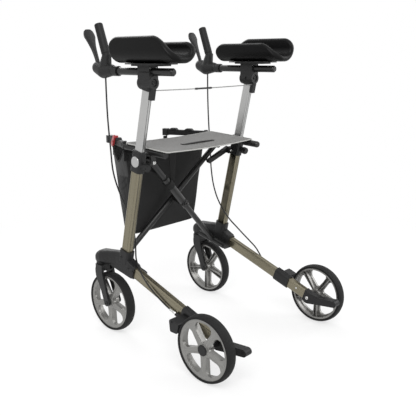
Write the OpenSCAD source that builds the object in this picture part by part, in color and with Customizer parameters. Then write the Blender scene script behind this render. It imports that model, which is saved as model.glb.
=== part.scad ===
// Upright walker with forearm rests: four wheels, two side frames that lean
// towards the user, a folding cross below a cloth seat, and forearm rests on
// height tubes. +X is the user's right, +Y is forwards and +Z is up. Lengths
// along Y count from the rear axle until the whole is centred on its box.

/* [Wheels] */
// Diameter of every wheel over its tyre
wheel_d = 200; // [190:1:210]
// Width of a tyre
tyre_w = 32; // [28:0.5:34]
// Thickness of a tyre from its rim to its tread
tyre_t = 10; // [8:0.5:12]
// Radius of the crown across a tread
tread_crown = 36; // [26:1:60]
// Distance between the middles of the rear wheels
rear_track = 566; // [560:1:580]
// Distance between the middles of the casters
caster_track = 471; // [465:1:475]
// Distance from the rear axle to the casters' axles
wheelbase = 469; // [460:1:480]
// Distance of a caster's axle behind its swivel
caster_trail = 43; // [38:0.5:46]
// Number of spokes in a rim
spokes = 5; // [4:1:6]
// Radius of a wheel's hub
hub_r = 17; // [15:0.5:20]
// Thickness of a rim's ring
rim_t = 6; // [5:0.5:8]
// Thickness of the web that the spokes are cut from
web_t = 9; // [7:0.5:11]
// Thickness of the ribs behind a spoke
rib_t = 2; // [1.5:0.5:3]
// Width of a spoke at its narrowest
spoke_w = 17; // [14:0.5:22]
// Radius of the outer corners of the windows between spokes
window_r = 19; // [12:0.5:22]
// Radius of the axles
axle_r = 5; // [4:0.5:6]
// Radius of a rear wheel's hub cap
cap_r = 16; // [14:0.5:18]
// Thickness of a hub cap
cap_t = 4; // [3:0.5:6]

/* [Casters] */
// Height of a fork's crown
crown_t = 22; // [18:0.5:26]
// Space between a tyre's top and its fork's crown
crown_gap = 3.5; // [3:0.5:6]
// Thickness of a fork's arms
fork_t = 9; // [7:0.5:11]
// Radius of a fork arm at the axle
fork_end_r = 12; // [9:0.5:13]
// Radius of the swivel stem
stem_r = 8; // [6:0.5:10]
// Length of the swivel stem
stem_len = 32; // [26:1:34]

/* [Side frames] */
// Distance between the two uprights
post_track = 461; // [457:1:465]
// Lean of the uprights towards the user
post_lean = 12.9; // [11:0.1:14]
// Distance of an upright's foot behind the swivel
post_back = 108; // [104:1:112]
// Depth of the frame tube, front to back
tube_d = 36; // [34:0.5:37]
// Width of the frame tube, side to side
tube_w = 22; // [21:0.5:23]
// Corner radius of the frame tube
tube_r = 6; // [4:0.5:8]
// Wall of the lower rail's tube
rail_wall = 3; // [2:0.5:4]
// Start of the upright above its foot
tube_low = 35; // [30:1:40]
// Length of the upright inside a collar
tube_in = 14; // [10:1:16]
// Wall of the knee's sockets round the tubes
socket_wall = 5; // [4:0.5:6]
// Height of the knee's socket above the foot
socket_high = 70; // [62:1:76]
// Distance of the lower rail's rear end ahead of the rear axle
rail_back = 13.5; // [12:0.5:20]
// Height of the lower rail's rear end above the rear axle
rail_end_up = 10; // [6:0.5:14]
// Distance of the rail's mouth in the knee behind the foot
rail_mouth = 57; // [52:1:62]
// Length of the rail inside the knee
rail_in = 18; // [12:1:20]
// Length of the tipping pedal behind the rear axle
pedal_reach = 112; // [100:1:125]
// Width of the tipping pedal
pedal_w = 26; // [22:1:30]

/* [Collars] */
// Distance of a collar's start below the upper pivots
collar_drop = 26; // [24:1:30]
// Height of a collar
collar_h = 66; // [60:1:72]
// Wall of a collar round the upright
collar_wall = 3; // [2.5:0.5:4]
// Radius of the plain badge on a collar
badge_r = 16.5; // [14:0.5:18]
// Thickness of a badge
badge_t = 2.5; // [2:0.5:4]
// Radius of a height knob
knob_r = 12; // [10:0.5:14]
// Length of a height knob
knob_len = 19; // [16:1:24]
// Radius of a height knob's screw
screw_r = 4; // [3:0.5:5]

/* [Height tubes] */
// Depth of a height tube
inner_d = 31; // [29:0.5:32]
// Width of a height tube
inner_w = 18; // [17:0.5:18]
// Corner radius of a height tube
inner_r = 5; // [3:0.5:6]
// Wall of a height tube
inner_wall = 2; // [1.5:0.5:3]
// Lower end of a height tube above the upright's foot
inner_low = 200; // [180:1:230]
// Middle of the head's barrel above the upright's foot
head_u = 611; // [600:1:640]
// Radius of the wire between the height tubes
wire_r = 1.3; // [1:0.1:2]
// Radius of the wire's sleeve
sleeve_r = 3.2; // [2.5:0.1:5]
// Length of the wire's sleeve
sleeve_len = 76; // [60:1:100]

/* [Forearm rests] */
// Length of a forearm pad
pad_len = 250; // [230:1:260]
// Width of a forearm pad
pad_w = 105; // [95:1:115]
// Height of a forearm pad's outer wall
pad_h = 71; // [60:1:80]
// Height of a forearm pad's inner wall
pad_low_h = 58; // [50:1:70]
// Thickness of a pad's foam
pad_t = 20; // [14:0.5:24]
// Radius of the trough's bend, at the middle of the foam
pad_bend = 34; // [30:0.5:36]
// Radius of a pad's corners, laid flat
pad_corner = 50; // [40:1:56]
// Distance of a pad's middle behind the head
pad_back = 12; // [4:1:16]
// Thickness of the plate below a pad
plate_t = 7.5; // [6:0.5:10]
// Radius of a handle tube
bar_r = 11; // [10:0.5:12]
// Height of a handle tube above the head's barrel
bar_up = 31; // [31:0.5:34]
// Reach of a handle tube behind the head
bar_back = 106; // [96:1:115]
// Reach of a handle tube ahead of the head
bar_front = 136; // [130:1:150]
// Length of a grip
grip_len = 100; // [90:1:110]
// Radius of a grip
grip_r = 13.5; // [12:0.5:15]
// Forward lean of a grip
grip_lean = 19.5; // [16:0.5:24]
// Width of a brake lever at its tip
lever_w = 44; // [36:1:48]
// Thickness of a brake lever
lever_t = 9; // [6:0.5:10]

/* [Fold] */
// Half the distance between the lower pivots of the cross
pivot_x = 198; // [196:0.5:199]
// Height of the lower pivots above the uprights' feet
pivot_u = 2; // [0:0.5:4]
// Height of the upper pivots above the uprights' feet
top_u = 364; // [360:1:366]
// Distance of the upper pivots inside the seat rails
top_in = 13; // [12:0.5:16]
// Distance between the planes of the two braces
brace_gap = 49; // [48:0.5:52]
// Distance of the fold's middle plane ahead of the uprights
fold_n = 28.5; // [28:0.5:30]
// Radius of a brace tube
brace_r = 9.5; // [8:0.5:10]
// Radius of the sleeve on the rear brace
brace_sleeve_r = 13; // [12:0.5:13.5]
// Radius of a lower pivot rod
rod_r = 6; // [5:0.5:7]
// Radius of a brace's lower barrel
barrel_r = 11; // [10:0.5:12]
// Length of a brace's lower barrel
barrel_len = 118; // [110:1:124]
// Radius of the upper and middle pivot pins
pin_r = 5; // [4:0.5:5.5]
// Thickness of a fold link
link_t = 11; // [9:0.5:12]
// Half the width of a fold link
link_r = 9; // [8:0.5:10]
// Radius of a fold link's pin
link_pin_r = 4; // [3:0.5:5]

/* [Seat and bag] */
// Distance of a seat rail from the middle
rail_x = 190; // [188:0.5:192]
// Height of the seat rails above the upper pivots
rail_up = 28; // [27:0.5:30]
// Upward tilt of the seat towards the front
seat_tilt = 3.5; // [2.5:0.1:4.5]
// Radius of a seat rail
seat_rail_r = 10.5; // [9.5:0.5:11]
// Reach of the right seat rail behind the fold
right_rail_back = 146; // [136:1:156]
// Reach of the left seat rail behind the fold
left_rail_back = 98; // [90:1:120]
// Reach of the seat rails ahead of the fold
rail_front = 80; // [78:1:84]
// Reach of the seat behind the fold
seat_back = 118; // [110:1:126]
// Reach of the seat ahead of the fold
seat_front = 74; // [70:1:76]
// Thickness of the seat's cloth
seat_t = 3; // [2:0.5:4]
// Length of a bag arm
arm_len = 158; // [150:1:166]
// Inward turn of a bag arm
arm_in = 22; // [20:0.5:24]
// Height of a bag arm
arm_h = 24; // [20:1:26]
// Width of a bag arm
arm_w = 14; // [12:1:16]
// Thickness of the bag's cloth
bag_t = 3; // [2:0.5:4]
// Depth of the bag below its arms
bag_deep = 300; // [280:1:310]
// Half the width of the bag's back at its top
bag_top_x = 188; // [180:1:190]
// Half the width of the bag's back at its bottom
bag_low_x = 143; // [130:1:150]

/* [Brakes] */
// Radius of a brake cable
cable_r = 2.5; // [2:0.1:3]
// Start of a brake housing along its rail
housing_start = 70; // [64:1:76]
// Length of a brake housing
housing_len = 60; // [54:1:66]
// Wall of a brake housing round its rail
housing_wall = 4; // [3:0.5:5]
// Space between a brake shoe and its tyre
shoe_gap = 3; // [2.5:0.1:4]
// Radius of the brake pivots
brake_pin_r = 3; // [2.5:0.5:4]

/* [Clearances] */
// Radial clearance of a shaft that turns
run_gap = 0.05; // [0.02:0.01:0.1]
// Clearance round a tube that slides
slide_gap = 0.4; // [0.3:0.05:0.6]
// Clearance round a tube that is fixed in a socket
fit_gap = 0.2; // [0.1:0.05:0.3]
// Space beside a part that turns or moves
side_gap = 0.4; // [0.3:0.05:0.6]

/* [Hidden] */
$fn = 48;
hull_fn = 32;
far = 400;

PLASTIC = [0.17, 0.17, 0.17];
RUBBER = [0.13, 0.13, 0.13];
ANODISED = [0.54, 0.52, 0.45];
SILVER = [0.76, 0.76, 0.75];
RIM_GREY = [0.62, 0.61, 0.59];
CLOTH_GREY = [0.53, 0.53, 0.52];
CLOTH_BLACK = [0.1, 0.1, 0.1];
RED = [0.6, 0.2, 0.21];

// Wheels and casters
wheel_r = wheel_d / 2;
rim_r = wheel_r - tyre_t;
hub_half = tyre_w / 2 - 0.5;
stem_x = caster_track / 2;
stem_y = wheelbase + caster_trail;
fork_in = tyre_w / 2 + 1.5;
fork_out = fork_in + fork_t;
crown_z = wheel_d + crown_gap;

// Uprights: the foot is the point of the upright's line level with the knee's underside
post_x = post_track / 2;
foot_y = stem_y - post_back;
foot_z = crown_z + crown_t + side_gap;
socket_w = tube_w + 2 * socket_wall;
socket_d = tube_d + 2 * socket_wall;
collar_w = tube_w + 2 * collar_wall;
collar_d = tube_d + 2 * collar_wall;
boss_len = 6;
collar_low = top_u - collar_drop;
tube_high = collar_low + tube_in;
knob_u = (tube_high + collar_low + collar_h) / 2 - 15;

// Lower rails
rail_y1 = foot_y - rail_mouth;
rail_z0 = wheel_r + rail_end_up;
rail_slope = atan2(foot_z + 1 - rail_z0, rail_y1 - rail_back);
mouth_s = norm([rail_y1 - rail_back, foot_z + 1 - rail_z0]);
rail_len = mouth_s + rail_in;

// Head of a height tube, on the upright's line
head_y = foot_y - head_u * sin(post_lean);
head_z = foot_z + head_u * cos(post_lean);
barrel_head_r = 19;
clamp_top = bar_up + bar_r + 5;
plate_top = clamp_top + plate_t;
barrel_back = 24;
barrel_front = 29;
clip_w = 16;
clip_t = 11.5;
clip_h = 34;
wire_n = -inner_d / 2 - clip_t + 5;
wire_u = head_u - 17;

// Fold
front_n = fold_n + brace_gap / 2;
rear_n = fold_n - brace_gap / 2;
top_x = rail_x - top_in;
brace_deg = atan2(top_u - pivot_u, top_x + pivot_x);
cross_u = pivot_u + pivot_x * tan(brace_deg);
ear_t = 5;
link_drop = 13;
hold_drop = 48;
link_u = top_u - link_drop;
link_x = post_x - collar_w / 2 - 4;
hold_u = top_u - hold_drop;
hold_x = (hold_u - cross_u) / tan(brace_deg);
sleeve_u = [cross_u - 16, hold_u - 20];

// Seat frame: the rails' line crosses the fold's middle plane here
seat_u = top_u + rail_up;
seat_y = foot_y + fold_n * cos(post_lean) - seat_u * sin(post_lean);
seat_z = foot_z + fold_n * sin(post_lean) + seat_u * cos(post_lean);
knuckle = rail_front + 8;
knuckle_y = seat_y + knuckle * cos(seat_tilt);
knuckle_z = seat_z + knuckle * sin(seat_tilt);
arm_tip_x = rail_x - arm_len * sin(arm_in);
arm_tip_y = knuckle_y + arm_len * cos(arm_in);
arm_up = 4;
arm_end = 22;
arm_end_r = 4;

// Bag, below the bag arms
bag_back_y = knuckle_y + 4;
bag_back_low_y = bag_back_y + 14;
bag_top_z = knuckle_z + arm_up - arm_h / 2 - 12;
bag_low_z = bag_top_z - bag_deep + 12;
bag_front_y = arm_tip_y - 8;
bag_front_low_y = bag_front_y - 40;
strap_w = 20;
strap_t = 2.4;

// The whole is centred between the pedals' ends and the bag arms' fronts
front_y = arm_tip_y + (arm_end / 2 - arm_end_r) * (cos(arm_in) + sin(arm_in)) + arm_end_r;
mid_y = (front_y - pedal_reach) / 2;

// Routes of the brake cables, from the grip housing to the brake housing, drawn on the right
left_route = [[231, 461, 834], [231, 461, 768], [231, 459, 700], [231, 452, 620], [231, 444, 544],
    [226, 424, 480], [212, 392, 400], [211, 372, 330], [211, 371, 295], [218, 362, 270],
    [231, 340, 255], [244, 312, 241], [247, 283, 215], [247, 253, 192.5], [247, 220, 174],
    [246.5, 188, 158.5], [246, 149.3, 145.7]];
right_route = [[231, 461, 834], [231, 461, 768], [231, 459, 700], [231, 454, 617], [231, 448, 538],
    [226, 440, 488], [216, 420, 433], [211, 392, 380], [210, 348, 328], [213, 295, 287],
    [224, 257, 252], [240, 238, 224], [247, 221, 196], [247, 200, 172], [246.5, 176, 156],
    [246, 149.3, 145.7]];
cable_steps = 4;
cable_sides = 10;

// Puts a piece of the right side on its own side, and the whole on its centre
module on_side(s) {
    translate([0, -mid_y, 0])
        if (s > 0) children();
        else mirror([1, 0, 0]) children();
}

// Frame of the right upright: X from its line, Y ahead of it, Z up along it
module post_frame() {
    translate([post_x, foot_y, foot_z]) rotate([post_lean, 0, 0]) children();
}

// Frame of the fold: as the upright's, with X from the middle of the walker
module fold_frame() {
    translate([0, foot_y, foot_z]) rotate([post_lean, 0, 0]) children();
}

// Frame of the right lower rail: Y forwards along it from its rear end
module rail_frame() {
    translate([post_x, rail_back, rail_z0]) rotate([rail_slope, 0, 0]) children();
}

// Level frame of the right head's barrel
module head_frame() {
    translate([post_x, head_y, head_z]) children();
}

// Frame of the seat rails: Y forwards along them from the fold's middle plane
module seat_frame() {
    translate([0, seat_y, seat_z]) rotate([seat_tilt, 0, 0]) children();
}

// Level frame of the right bag arm's hinge, turned along the arm
module arm_frame() {
    translate([rail_x, knuckle_y, knuckle_z]) rotate([0, 0, arm_in]) translate([0, 0, arm_up]) children();
}

// Frame of a grip: Z up along it from its base
module grip_frame() {
    head_frame() translate([0, bar_front + 50, bar_up + 45]) rotate([-grip_lean, 0, 0]) children();
}

// Turns a shape drawn along Z to run along Y
module along_y() {
    rotate([-90, 0, 0]) children();
}

// Turns a profile drawn as forwards and up, extruded to a width across X
module across(w) {
    rotate([90, 0, 90]) translate([0, 0, -w / 2]) linear_extrude(w) children();
}

// Rectangle with round corners
module round_rect(w, d, r) {
    square([w - 2 * r, d], center = true);
    square([w, d - 2 * r], center = true);
    for (x = [-1, 1], y = [-1, 1]) translate([x * (w / 2 - r), y * (d / 2 - r)]) circle(r);
}

// Outline between two circles, with straight sides that touch both
module taper(a, b, ra, rb) {
    along = (b - a) / norm(b - a);
    across = [-along.y, along.x];
    k = (ra - rb) / norm(b - a);
    side = sqrt(1 - k * k);
    translate(a) circle(ra);
    translate(b) circle(rb);
    polygon([a + ra * (k * along + side * across), b + rb * (k * along + side * across),
        b + rb * (k * along - side * across), a + ra * (k * along - side * across)]);
}

// Round bar between two points
module bar(a, b, r) {
    v = b - a;
    translate(a) rotate([0, acos(v.z / norm(v)), atan2(v.y, v.x)]) cylinder(h = norm(v), r = r);
}

// Closed skin over rings of points, each ring counterclockwise when seen along the way
module skin(rings) {
    n = len(rings[0]);
    last = len(rings) - 1;
    points = [for (ring = rings) each ring];
    sides = [for (i = [0:last - 1], j = [0:n - 1]) let (a = i * n + j, b = i * n + (j + 1) % n)
        each [[a, b, a + n], [b, b + n, a + n]]];
    caps = [for (j = [1:n - 2]) each [[0, j + 1, j], [last * n, last * n + j, last * n + j + 1]]];
    polyhedron(points, concat(sides, caps));
}

// Point on the smooth curve through p[i] and p[i + 1]
function through(p, i, t) =
    let (a = p[max(i - 1, 0)], b = p[i], c = p[i + 1], d = p[min(i + 2, len(p) - 1)])
    b + t / 2 * (c - a + t * (2 * a - 5 * b + 4 * c - d + t * (3 * (b - c) + d - a)));
function curve(p, steps) =
    concat([for (i = [0:len(p) - 2], k = [0:steps - 1]) through(p, i, k / steps)], [p[len(p) - 1]]);
function unit(v) = v / norm(v);

// Ring of a round tube about a point, square to its direction
function tube_ring(p, dir, r, n) =
    let (x = unit(cross(dir, [0.2, 1, 0.1])), y = cross(x, dir))
    [for (j = [0:n - 1]) p + r * (cos(360 * j / n) * x + sin(360 * j / n) * y)];
module swept_tube(line, r, n) {
    last = len(line) - 1;
    skin([for (i = [0:last]) tube_ring(line[i], unit(line[min(i + 1, last)] - line[max(i - 1, 0)]), r, n)]);
}

// Outlines of the tubes, drawn square to them
module tube_outline(gap = 0) {
    round_rect(tube_w + 2 * gap, tube_d + 2 * gap, tube_r + gap);
}
module inner_outline(gap = 0) {
    round_rect(inner_w + 2 * gap, inner_d + 2 * gap, inner_r + gap);
}
groove_w = 1.6;
groove_deep = 0.7;
channel_w = 25;
module tube_section() {
    difference() {
        tube_outline();
        for (y = [-1, 1]) translate([tube_w / 2, y * (tube_d / 2 - 8)])
            square([2 * groove_deep, groove_w], true);
        for (y = [-1, 1]) translate([0, y * tube_d / 2]) square([4, 2 * groove_deep], true);
    }
}

module upright_tube(s) {
    on_side(s) color(ANODISED) post_frame() translate([0, 0, tube_low])
        linear_extrude(tube_high - tube_low) difference() {
            tube_section();
            translate([-tube_w / 2, 0]) square([2 * groove_deep, channel_w], true);
            inner_outline(slide_gap);
        }
}

module rail_bore(gap) {
    round_rect(tube_w - 2 * rail_wall - 2 * gap, tube_d - 2 * rail_wall - 2 * gap, tube_r - rail_wall + 0.5);
}
module lower_rail(s) {
    on_side(s) color(ANODISED) rail_frame() along_y() linear_extrude(rail_len) difference() {
        tube_section();
        rail_bore(0);
    }
}

// Arm of the knee to the swivel: rounded sections, each with its place ahead of the foot,
// its offset across, the height of its middle, its half width and its half height
nose_x = stem_x - post_x;
swivel_r = 21;
knee_arm = [[-6, 0, 33, 15, 26], [28, 0, 32, 16, 26.5], [58, 0.4 * nose_x, 29.5, 18.5, 25.5],
    [post_back - 26, 0.8 * nose_x, 27, 22, 25.5], [post_back - 10, nose_x, 25.5, 24, 25],
    [post_back + 5, nose_x, 22.5, 23, 22], [post_back + 15, nose_x, 19, 19, 18.5],
    [post_back + 21, nose_x, 16.5, 13.5, 15], [post_back + 24, nose_x, 15, 6, 8]];
knee_bulge = 2.6;
function rounded(v) = sign(v) * pow(abs(v), 2 / knee_bulge);
function arm_ring(k) =
    [for (a = [0:15:345]) [k[1] + k[3] * rounded(cos(a)), k[0], k[2] + k[4] * rounded(sin(a))]];

// Side outline of the web between the arm and the rail's socket
web_round = 8;
module knee_web() {
    offset(web_round) offset(-web_round)
        polygon([[-50, -19], [52, 3], [74, 12], [40, 44], [-14, 46], [-62, 22]]);
}
ear_n = barrel_len / 2 + side_gap;
rod_n = fold_n - 22;
module knee(s) {
    on_side(s) color(PLASTIC) {
        difference() {
            union() {
                translate([post_x, foot_y, foot_z]) {
                    skin([for (k = knee_arm) arm_ring(k)]);
                    across(socket_w - 3) knee_web();
                }
                translate([stem_x, stem_y, foot_z]) cylinder(h = socket_wall * 3, r = swivel_r);
                post_frame() translate([0, 0, tube_low - 10]) linear_extrude(socket_high - tube_low + 10)
                    round_rect(socket_w, socket_d, tube_r + socket_wall);
                rail_frame() translate([0, mouth_s, 0]) along_y() linear_extrude(rail_in + 12)
                    round_rect(socket_w, socket_d, tube_r + socket_wall);
                fold_frame() for (n = [rod_n + ear_n, rod_n - ear_n - 8]) translate([0, n, 0])
                    along_y() linear_extrude(8) translate([0, -pivot_u]) {
                        translate([pivot_x, 0]) circle(rod_r + 4);
                        translate([pivot_x, -rod_r - 4]) square([post_x - pivot_x, 2 * rod_r + 8]);
                    }
            }
            post_frame() translate([0, 0, tube_low]) linear_extrude(far) tube_outline(fit_gap);
            rail_frame() along_y() linear_extrude(rail_len) tube_outline(fit_gap);
            translate([stem_x, stem_y, foot_z - 1]) cylinder(h = stem_len + 2, r = stem_r + run_gap);
            fold_frame() translate([pivot_x, rod_n - ear_n, pivot_u]) along_y()
                cylinder(h = 2 * ear_n, r = barrel_r + 1.5);
        }
        fold_frame() translate([pivot_x, rod_n - ear_n - 8, pivot_u]) along_y()
            cylinder(h = 2 * ear_n + 16, r = rod_r);
    }
}

module collar(s) {
    on_side(s) color(PLASTIC) {
        post_frame() difference() {
            union() {
                translate([0, 0, collar_low]) linear_extrude(collar_h)
                    round_rect(collar_w, collar_d, tube_r + collar_wall);
                translate([0, -collar_d / 2 - boss_len, knob_u]) along_y()
                    cylinder(h = boss_len + 2, r = knob_r - 3);
                translate([link_x - post_x - 9, 8, link_u - 11])
                    cube([post_x - link_x + 9, link_n() - link_t / 2 - side_gap - 8, 22]);
            }
            translate([0, 0, collar_low - 1]) linear_extrude(tube_in + 1) tube_outline(fit_gap);
            translate([0, 0, collar_low]) linear_extrude(far) inner_outline(slide_gap);
            translate([collar_w / 2 - 1, 0, collar_low + collar_h / 2]) rotate([0, 90, 0])
                cylinder(h = 3, r = badge_r + fit_gap);
            translate([0, -collar_d, knob_u]) along_y() cylinder(h = collar_d, r = screw_r + run_gap);
        }
        fold_frame() translate([link_x, 10, link_u]) along_y() {
            cylinder(h = link_n() + link_t / 2 - 10 + side_gap, r = link_pin_r);
            translate([0, 0, link_n() + link_t / 2 - 10 + side_gap]) cylinder(h = 2, r = link_pin_r + 2.5);
        }
    }
}
function link_n() = fold_n - 1;

module badge(s) {
    on_side(s) color(SILVER) post_frame() translate([collar_w / 2 - 1, 0, collar_low + collar_h / 2])
        rotate([0, 90, 0]) {
            cylinder(h = badge_t - 0.8, r = badge_r);
            translate([0, 0, badge_t - 0.8]) cylinder(h = 0.8, r1 = badge_r, r2 = badge_r - 0.8);
        }
}

module height_knob(s) {
    on_side(s) color(PLASTIC) post_frame() translate([0, -collar_d / 2 - boss_len, knob_u])
        rotate([90, 0, 0]) {
            cylinder(h = knob_len, r = knob_r - 2);
            for (a = [0:60:300]) rotate(a) translate([knob_r - 3, 0, 2]) cylinder(h = knob_len - 4, r = 3);
            translate([0, 0, -boss_len - collar_wall - tube_d / 2 + inner_d / 2 + slide_gap])
                cylinder(h = boss_len + collar_wall + tube_d / 2 - inner_d / 2, r = screw_r);
        }
}

// Wheels, drawn about Z with the outer side up
module wheel_at(p, s) {
    on_side(s) translate(p) rotate([0, 90, 0]) children();
}
rear_wheel = [rear_track / 2, 0, wheel_r];
caster_wheel = [stem_x, wheelbase, wheel_r];

module tyre(p, s) {
    color(RUBBER) wheel_at(p, s) rotate_extrude() intersection() {
        translate([rim_r, -tyre_w / 2]) square([tyre_t, tyre_w]);
        translate([wheel_r - tread_crown, 0]) circle(tread_crown);
    }
}

// Rim with flared spokes: a web with round-cornered windows, ribbed on its inner side
window_tip_r = 7;
module rim(p, s) {
    step = 360 / spokes;
    ring_in = rim_r - rim_t;
    ring_w = tyre_w - 4;
    web_z = tyre_w / 2 - 4 - web_t;
    window_out = ring_in - window_r - 2;
    window_turn = step / 2 - asin((window_r + spoke_w / 2) / window_out);
    color(RIM_GREY) wheel_at(p, s) difference() {
        union() {
            rotate_extrude() {
                translate([ring_in, -ring_w / 2]) square([rim_r - fit_gap / 2 - ring_in, ring_w]);
                polygon([[ring_in - 4, web_z], [ring_in, web_z - 4], [ring_in, web_z + web_t + 2],
                    [ring_in - 4, web_z + web_t]]);
            }
            difference() {
                translate([0, 0, web_z]) cylinder(h = web_t, r = ring_in);
                for (k = [0:spokes - 1]) rotate(k * step + step / 2) translate([0, 0, web_z - 1])
                    linear_extrude(web_t + 2) hull() {
                        translate([hub_r + window_tip_r + 5, 0]) circle(window_tip_r, $fn = hull_fn);
                        for (a = [-1, 1]) rotate(a * window_turn) translate([window_out, 0])
                            circle(window_r, $fn = hull_fn);
                    }
            }
            for (k = [0:spokes - 1], y = [-1, 1]) rotate(k * step + y * 3)
                translate([hub_r - 2, y * 2 - rib_t / 2, -ring_w / 2 + 3])
                    cube([ring_in - hub_r + 3, rib_t, web_z + ring_w / 2 - 2]);
            for (k = [0:spokes - 1]) rotate(k * step) translate([hub_r - 3, 0, web_z + web_t - 3.5])
                rotate([0, 90, 0]) cylinder(h = ring_in - hub_r + 4, r1 = spoke_w / 3, r2 = spoke_w / 3.5);
            translate([0, 0, -hub_half]) cylinder(h = 2 * hub_half - 1, r = hub_r);
        }
        cylinder(h = far, r = axle_r + run_gap, center = true);
    }
}

module hub_cap(s) {
    color(PLASTIC) wheel_at(rear_wheel, s) translate([0, 0, hub_half - 1]) {
        cylinder(h = cap_t - 1.5, r = cap_r);
        translate([0, 0, cap_t - 1.5]) cylinder(h = 1.5, r1 = cap_r, r2 = cap_r - 3);
    }
}

// Side of a fork arm, forwards and up from the axle: a blade that bows ahead of the swivel
fork_top = crown_z + crown_t - wheel_r;
fork_front = [[caster_trail + 2, fork_top], [caster_trail + 8, fork_top - 19],
    [caster_trail + 4, fork_top - 46], [caster_trail - 14, fork_top - 78], [fork_end_r, 0]];
fork_rear = [[caster_trail - 27, fork_top], [caster_trail - 26, fork_top - 15],
    [caster_trail - 29, fork_top - 36], [caster_trail - 38, fork_top - 70], [-fork_end_r, 0]];
module fork_blade() {
    rear = curve(fork_rear, 5);
    last = len(rear) - 1;
    circle(fork_end_r);
    polygon(concat(curve(fork_front, 5), [for (i = [0:last]) rear[last - i]]));
}
module caster_fork(s) {
    on_side(s) color(PLASTIC) translate([stem_x, 0, 0]) {
        for (m = [-1, 1]) translate([m * (fork_in + fork_t / 2), wheelbase, wheel_r])
            across(fork_t) fork_blade();
        for (m = [-1, 1]) translate([m * fork_in, wheelbase, wheel_r]) rotate([0, -90 * m, 0])
            cylinder(h = 1.2, r = axle_r + 4);
        translate([0, stem_y - 3, crown_z]) linear_extrude(crown_t) round_rect(2 * fork_out, 36, 14);
        translate([0, stem_y, crown_z + crown_t]) cylinder(h = stem_len, r = stem_r);
        translate([-fork_out, wheelbase, wheel_r]) rotate([0, 90, 0]) cylinder(h = 2 * fork_out, r = axle_r);
    }
}

// Rear end of the lower rail: plug in the rail, axle and tipping pedal
pedal_end_r = 11;
module axle_bracket(s) {
    on_side(s) color(PLASTIC) {
        difference() {
            translate([post_x, 0, wheel_r]) {
                across(tube_w) {
                    taper([0, 0], [rail_back + 6, rail_end_up + 3], 20, tube_d / 2);
                    taper([0, 0], [-45, -1], 20, 13);
                }
                across(pedal_w) taper([-48, -1], [-pedal_reach + pedal_end_r, 4], 12, pedal_end_r);
            }
            rail_frame() translate([-far / 2, 0, -far / 2]) cube(far);
        }
        rail_frame() along_y() linear_extrude(30) rail_bore(fit_gap);
        translate([post_x + tube_w / 2, 0, wheel_r]) rotate([0, 90, 0]) {
            cylinder(h = rear_track / 2 - post_x - tube_w / 2 - hub_half - side_gap, r = axle_r + 4);
            cylinder(h = rear_track / 2 - post_x - tube_w / 2 + hub_half - 1.4, r = axle_r);
        }
    }
}

// Brake at the rear tyre: the shoe hangs on a pin beside the housing, and the cable ends in a lug
shoe_pin = [wheel_r + 26, wheel_r + 46];
shoe_x = post_x + tube_w / 2 + housing_wall + side_gap;
lug_r = 6.5;
lug_len = 17;
lug_down = 11.2;
module brake_housing(s) {
    lug_x = tube_w / 2 + housing_wall + 0.5;
    lug_start = housing_start + housing_len - 1;
    on_side(s) color(PLASTIC) {
        difference() {
            union() {
                rail_frame() translate([0, housing_start, 0]) along_y() linear_extrude(housing_len) {
                    round_rect(tube_w + 2 * housing_wall, tube_d + 2 * housing_wall, tube_r + housing_wall);
                    for (x = [-5, 0, 5]) translate([x, -tube_d / 2 - housing_wall]) circle(1.6);
                }
                rail_frame() translate([lug_x, lug_start, -lug_down]) along_y()
                    cylinder(h = lug_len, r = lug_r);
            }
            rail_frame() along_y() linear_extrude(rail_len) tube_outline(fit_gap);
            rail_frame() translate([lug_x, lug_start + 6, -lug_down]) along_y()
                cylinder(h = lug_len, r = cable_r + side_gap);
        }
        translate([shoe_x - side_gap - 1, shoe_pin.x, shoe_pin.y]) rotate([0, 90, 0])
            cylinder(h = rear_wheel.x + tyre_w / 2 - shoe_x, r = brake_pin_r);
    }
}
module brake_shoe(s) {
    w = rear_wheel.x + tyre_w / 2 - 4 - shoe_x;
    on_side(s) color(PLASTIC) difference() {
        translate([shoe_x + w / 2, 0, 0]) across(w) difference() {
            hull() {
                translate(shoe_pin) circle(brake_pin_r + 6, $fn = hull_fn);
                translate(shoe_pin + [1, -26]) circle(5, $fn = hull_fn);
                translate([wheel_r + 7, wheel_r + 20]) circle(5, $fn = hull_fn);
                translate([wheel_r + 2, wheel_r + 42]) circle(5, $fn = hull_fn);
            }
            translate([0, wheel_r]) circle(wheel_r + shoe_gap);
        }
        translate([shoe_x - 1, shoe_pin.x, shoe_pin.y]) rotate([0, 90, 0])
            cylinder(h = w + 2, r = brake_pin_r + run_gap);
    }
}

module brake_cable(s) {
    line = curve(s > 0 ? right_route : left_route, cable_steps);
    on_side(s) color(RUBBER) swept_tube(line, cable_r, cable_sides);
}

module inner_tube(s) {
    on_side(s) color(SILVER) post_frame() translate([0, 0, inner_low]) linear_extrude(head_u - inner_low)
        difference() {
            inner_outline();
            round_rect(inner_w - 2 * inner_wall, inner_d - 2 * inner_wall, inner_r - inner_wall);
        }
}

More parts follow.
